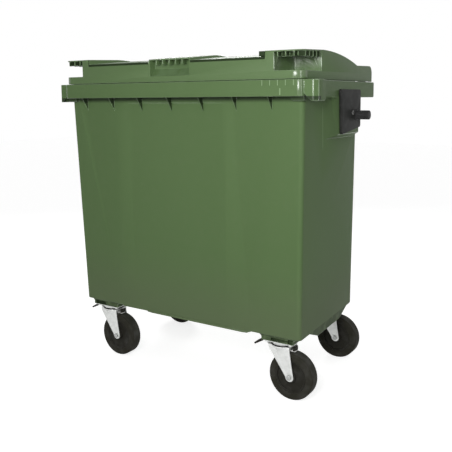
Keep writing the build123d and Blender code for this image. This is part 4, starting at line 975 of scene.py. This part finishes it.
# %% [markdown]
# ## Painted shade rings
#
# A thin dark rubber ring round the race of each swivel is painted shade, a dark arc under the
# top plate. A torus would be too round for it, so a disc is bored out and its edges are
# bevelled. One ring is made, and the other three are copies of it, moved to their castors.

# %% Painted shade rings
RING_INNER = 47.2 * MM
RING_OUTER = 49.7 * MM
RING_LOW, RING_HIGH = 0.2262, 0.2310
RING_SIDES = 64
RING_BEVEL = 0.6 * MM


def disc(radius, low, high, centre):
    """An upright cylinder between two heights."""
    bpy.ops.object.select_all(action="DESELECT")
    bpy.ops.mesh.primitive_cylinder_add(vertices=RING_SIDES, radius=radius, depth=high - low,
                                        location=(centre.x, centre.y, (low + high) / 2))
    return settle(bpy.context.object)


def plate_centre(corner):
    """The middle of a castor's top plate."""
    plate = dressed[corner + "_castor_plate"].data.vertices
    return sum((point.co for point in plate), Vector()) / len(plate)


def shade_ring(centre):
    """A thin dark ring of painted shade round the race of a castor, bored out of a disc and
    rounded.
    """
    piece = disc(RING_OUTER, RING_LOW, RING_HIGH, centre)
    cut(piece, disc(RING_INNER, RING_LOW - MM, RING_HIGH + MM, centre))
    modify(piece, "BEVEL", width=RING_BEVEL, segments=2, limit_method="ANGLE",
           angle_limit=SHARP)
    return smooth(piece)


def moved_copy(piece, shift):
    """A copy of a piece, with a mesh of its own, in another place."""
    pick(piece)
    bpy.ops.object.duplicate()
    copy = bpy.context.object
    copy.location = shift
    return settle(copy)


first_centre = plate_centre("front_right")
shade_rings = {"front_right": shade_ring(first_centre)}
for corner in ("front_left", "rear_right", "rear_left"):
    shade_rings[corner] = moved_copy(shade_rings["front_right"], plate_centre(corner) - first_centre)
# Each ring is painted shade under its castor's top plate.
for corner, seal in shade_rings.items():
    seal.name = corner + "_swivel_seal"
    coat(seal, finishes["seal_rubber"])
    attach(seal, body_of(nodes[corner + "_fork"])[0])
    print(seal.name, len(seal.data.polygons), "faces")

# %% [markdown]
# ## The studio
#
# The container stands on a plain pale floor under a soft even sky. Both are white for the
# camera and in reflections, but light the container much less. A Light Path node tells those
# rays apart, and the floor adds its white to its own shaded colour, so it keeps the shadow.

# %% Floor
SKY_LIGHT = 0.32
FLOOR_HALF = 14.0
FLOOR_GREY = 0.50
FLOOR_LIFT = 0.80


def seen_directly(tree):
    """1 for rays from the camera, from a gloss or through glass, and 0 for soft light."""
    path = tree.nodes.new("ShaderNodeLightPath")
    total = path.outputs["Is Camera Ray"]
    for name in ("Is Glossy Ray", "Is Transmission Ray"):
        highest = tree.nodes.new("ShaderNodeMath")
        highest.operation = "MAXIMUM"
        tree.links.new(total, highest.inputs[0])
        tree.links.new(path.outputs[name], highest.inputs[1])
        total = highest.outputs[0]
    return total


bpy.ops.mesh.primitive_plane_add(size=2 * FLOOR_HALF, location=(0, 0, 0))
floor = bpy.context.object
floor.name = "studio_floor"
paving = Finish("studio_floor", gloss=0.1, roughness=0.9,
                base_color=(FLOOR_GREY, FLOOR_GREY, FLOOR_GREY, 1.0))
shaded = Value(paving, paving.shader.outputs[0])
lift = paving.node("ShaderNodeEmission", {}, Strength=FLOOR_LIFT)
lifted = paving.node("ShaderNodeAddShader", {}, shaded, lift)
seen = Value(paving, seen_directly(paving.tree))
choice = paving.node("ShaderNodeMixShader", {}, seen, shaded, lifted)
paving.fill(paving.tree.nodes["Material Output"].inputs[0], choice)
coat(floor, paving.material)

# %% Sky
world = bpy.data.worlds.new("studio_sky")
bpy.context.scene.world = world
world.use_nodes = True
sky = world.node_tree
background = sky.nodes["Background"]
level = sky.nodes.new("ShaderNodeMapRange")
level.inputs["To Min"].default_value = SKY_LIGHT
level.inputs["To Max"].default_value = 1.0
sky.links.new(seen_directly(sky), level.inputs["Value"])
sky.links.new(level.outputs[0], background.inputs["Strength"])
background.inputs["Color"].default_value = (1.0, 1.0, 1.0, 1.0)
print("sky light", SKY_LIGHT)

# %% [markdown]
# ## Lamps
#
# One broad lamp lights the front and another the rear. A tall window and a narrow strip don't
# light the walls at all, but every rounded edge that faces them shows them as a thin bright
# line. Soft boxes do the same for a real photographer.

# %% Lamps


def lamp(name, place, target, width, height, watts, only_gloss=False):
    """A soft rectangular lamp that faces a point, and may show in reflections only."""
    bpy.ops.object.light_add(type="AREA", location=place)
    made = bpy.context.object
    made.name = name
    made.rotation_euler = (Vector(target) - Vector(place)).to_track_quat("-Z", "Y").to_euler()
    made.data.shape = "RECTANGLE"
    made.data.size = width
    made.data.size_y = height
    made.data.energy = watts
    made.visible_diffuse = not only_gloss
    print(name, watts, "W")


lamp("front_lamp", (1.05, -2.40, 1.60), (0.25, -0.3, 0.55), width=0.9, height=0.7, watts=42.0)
lamp("rear_lamp", (-1.7, 2.6, 2.0), (-0.1, 0.3, 0.6), width=1.2, height=0.9, watts=40.0)
lamp("window", (-0.35, -2.9, 1.4), (0.55, -0.3, 1.2), width=0.6, height=2.0, watts=24.0,
     only_gloss=True)
lamp("edge_strip", (3.2, -1.3, 1.5), (0.6, -0.3, 1.0), width=0.22, height=2.2, watts=22.0,
     only_gloss=True)
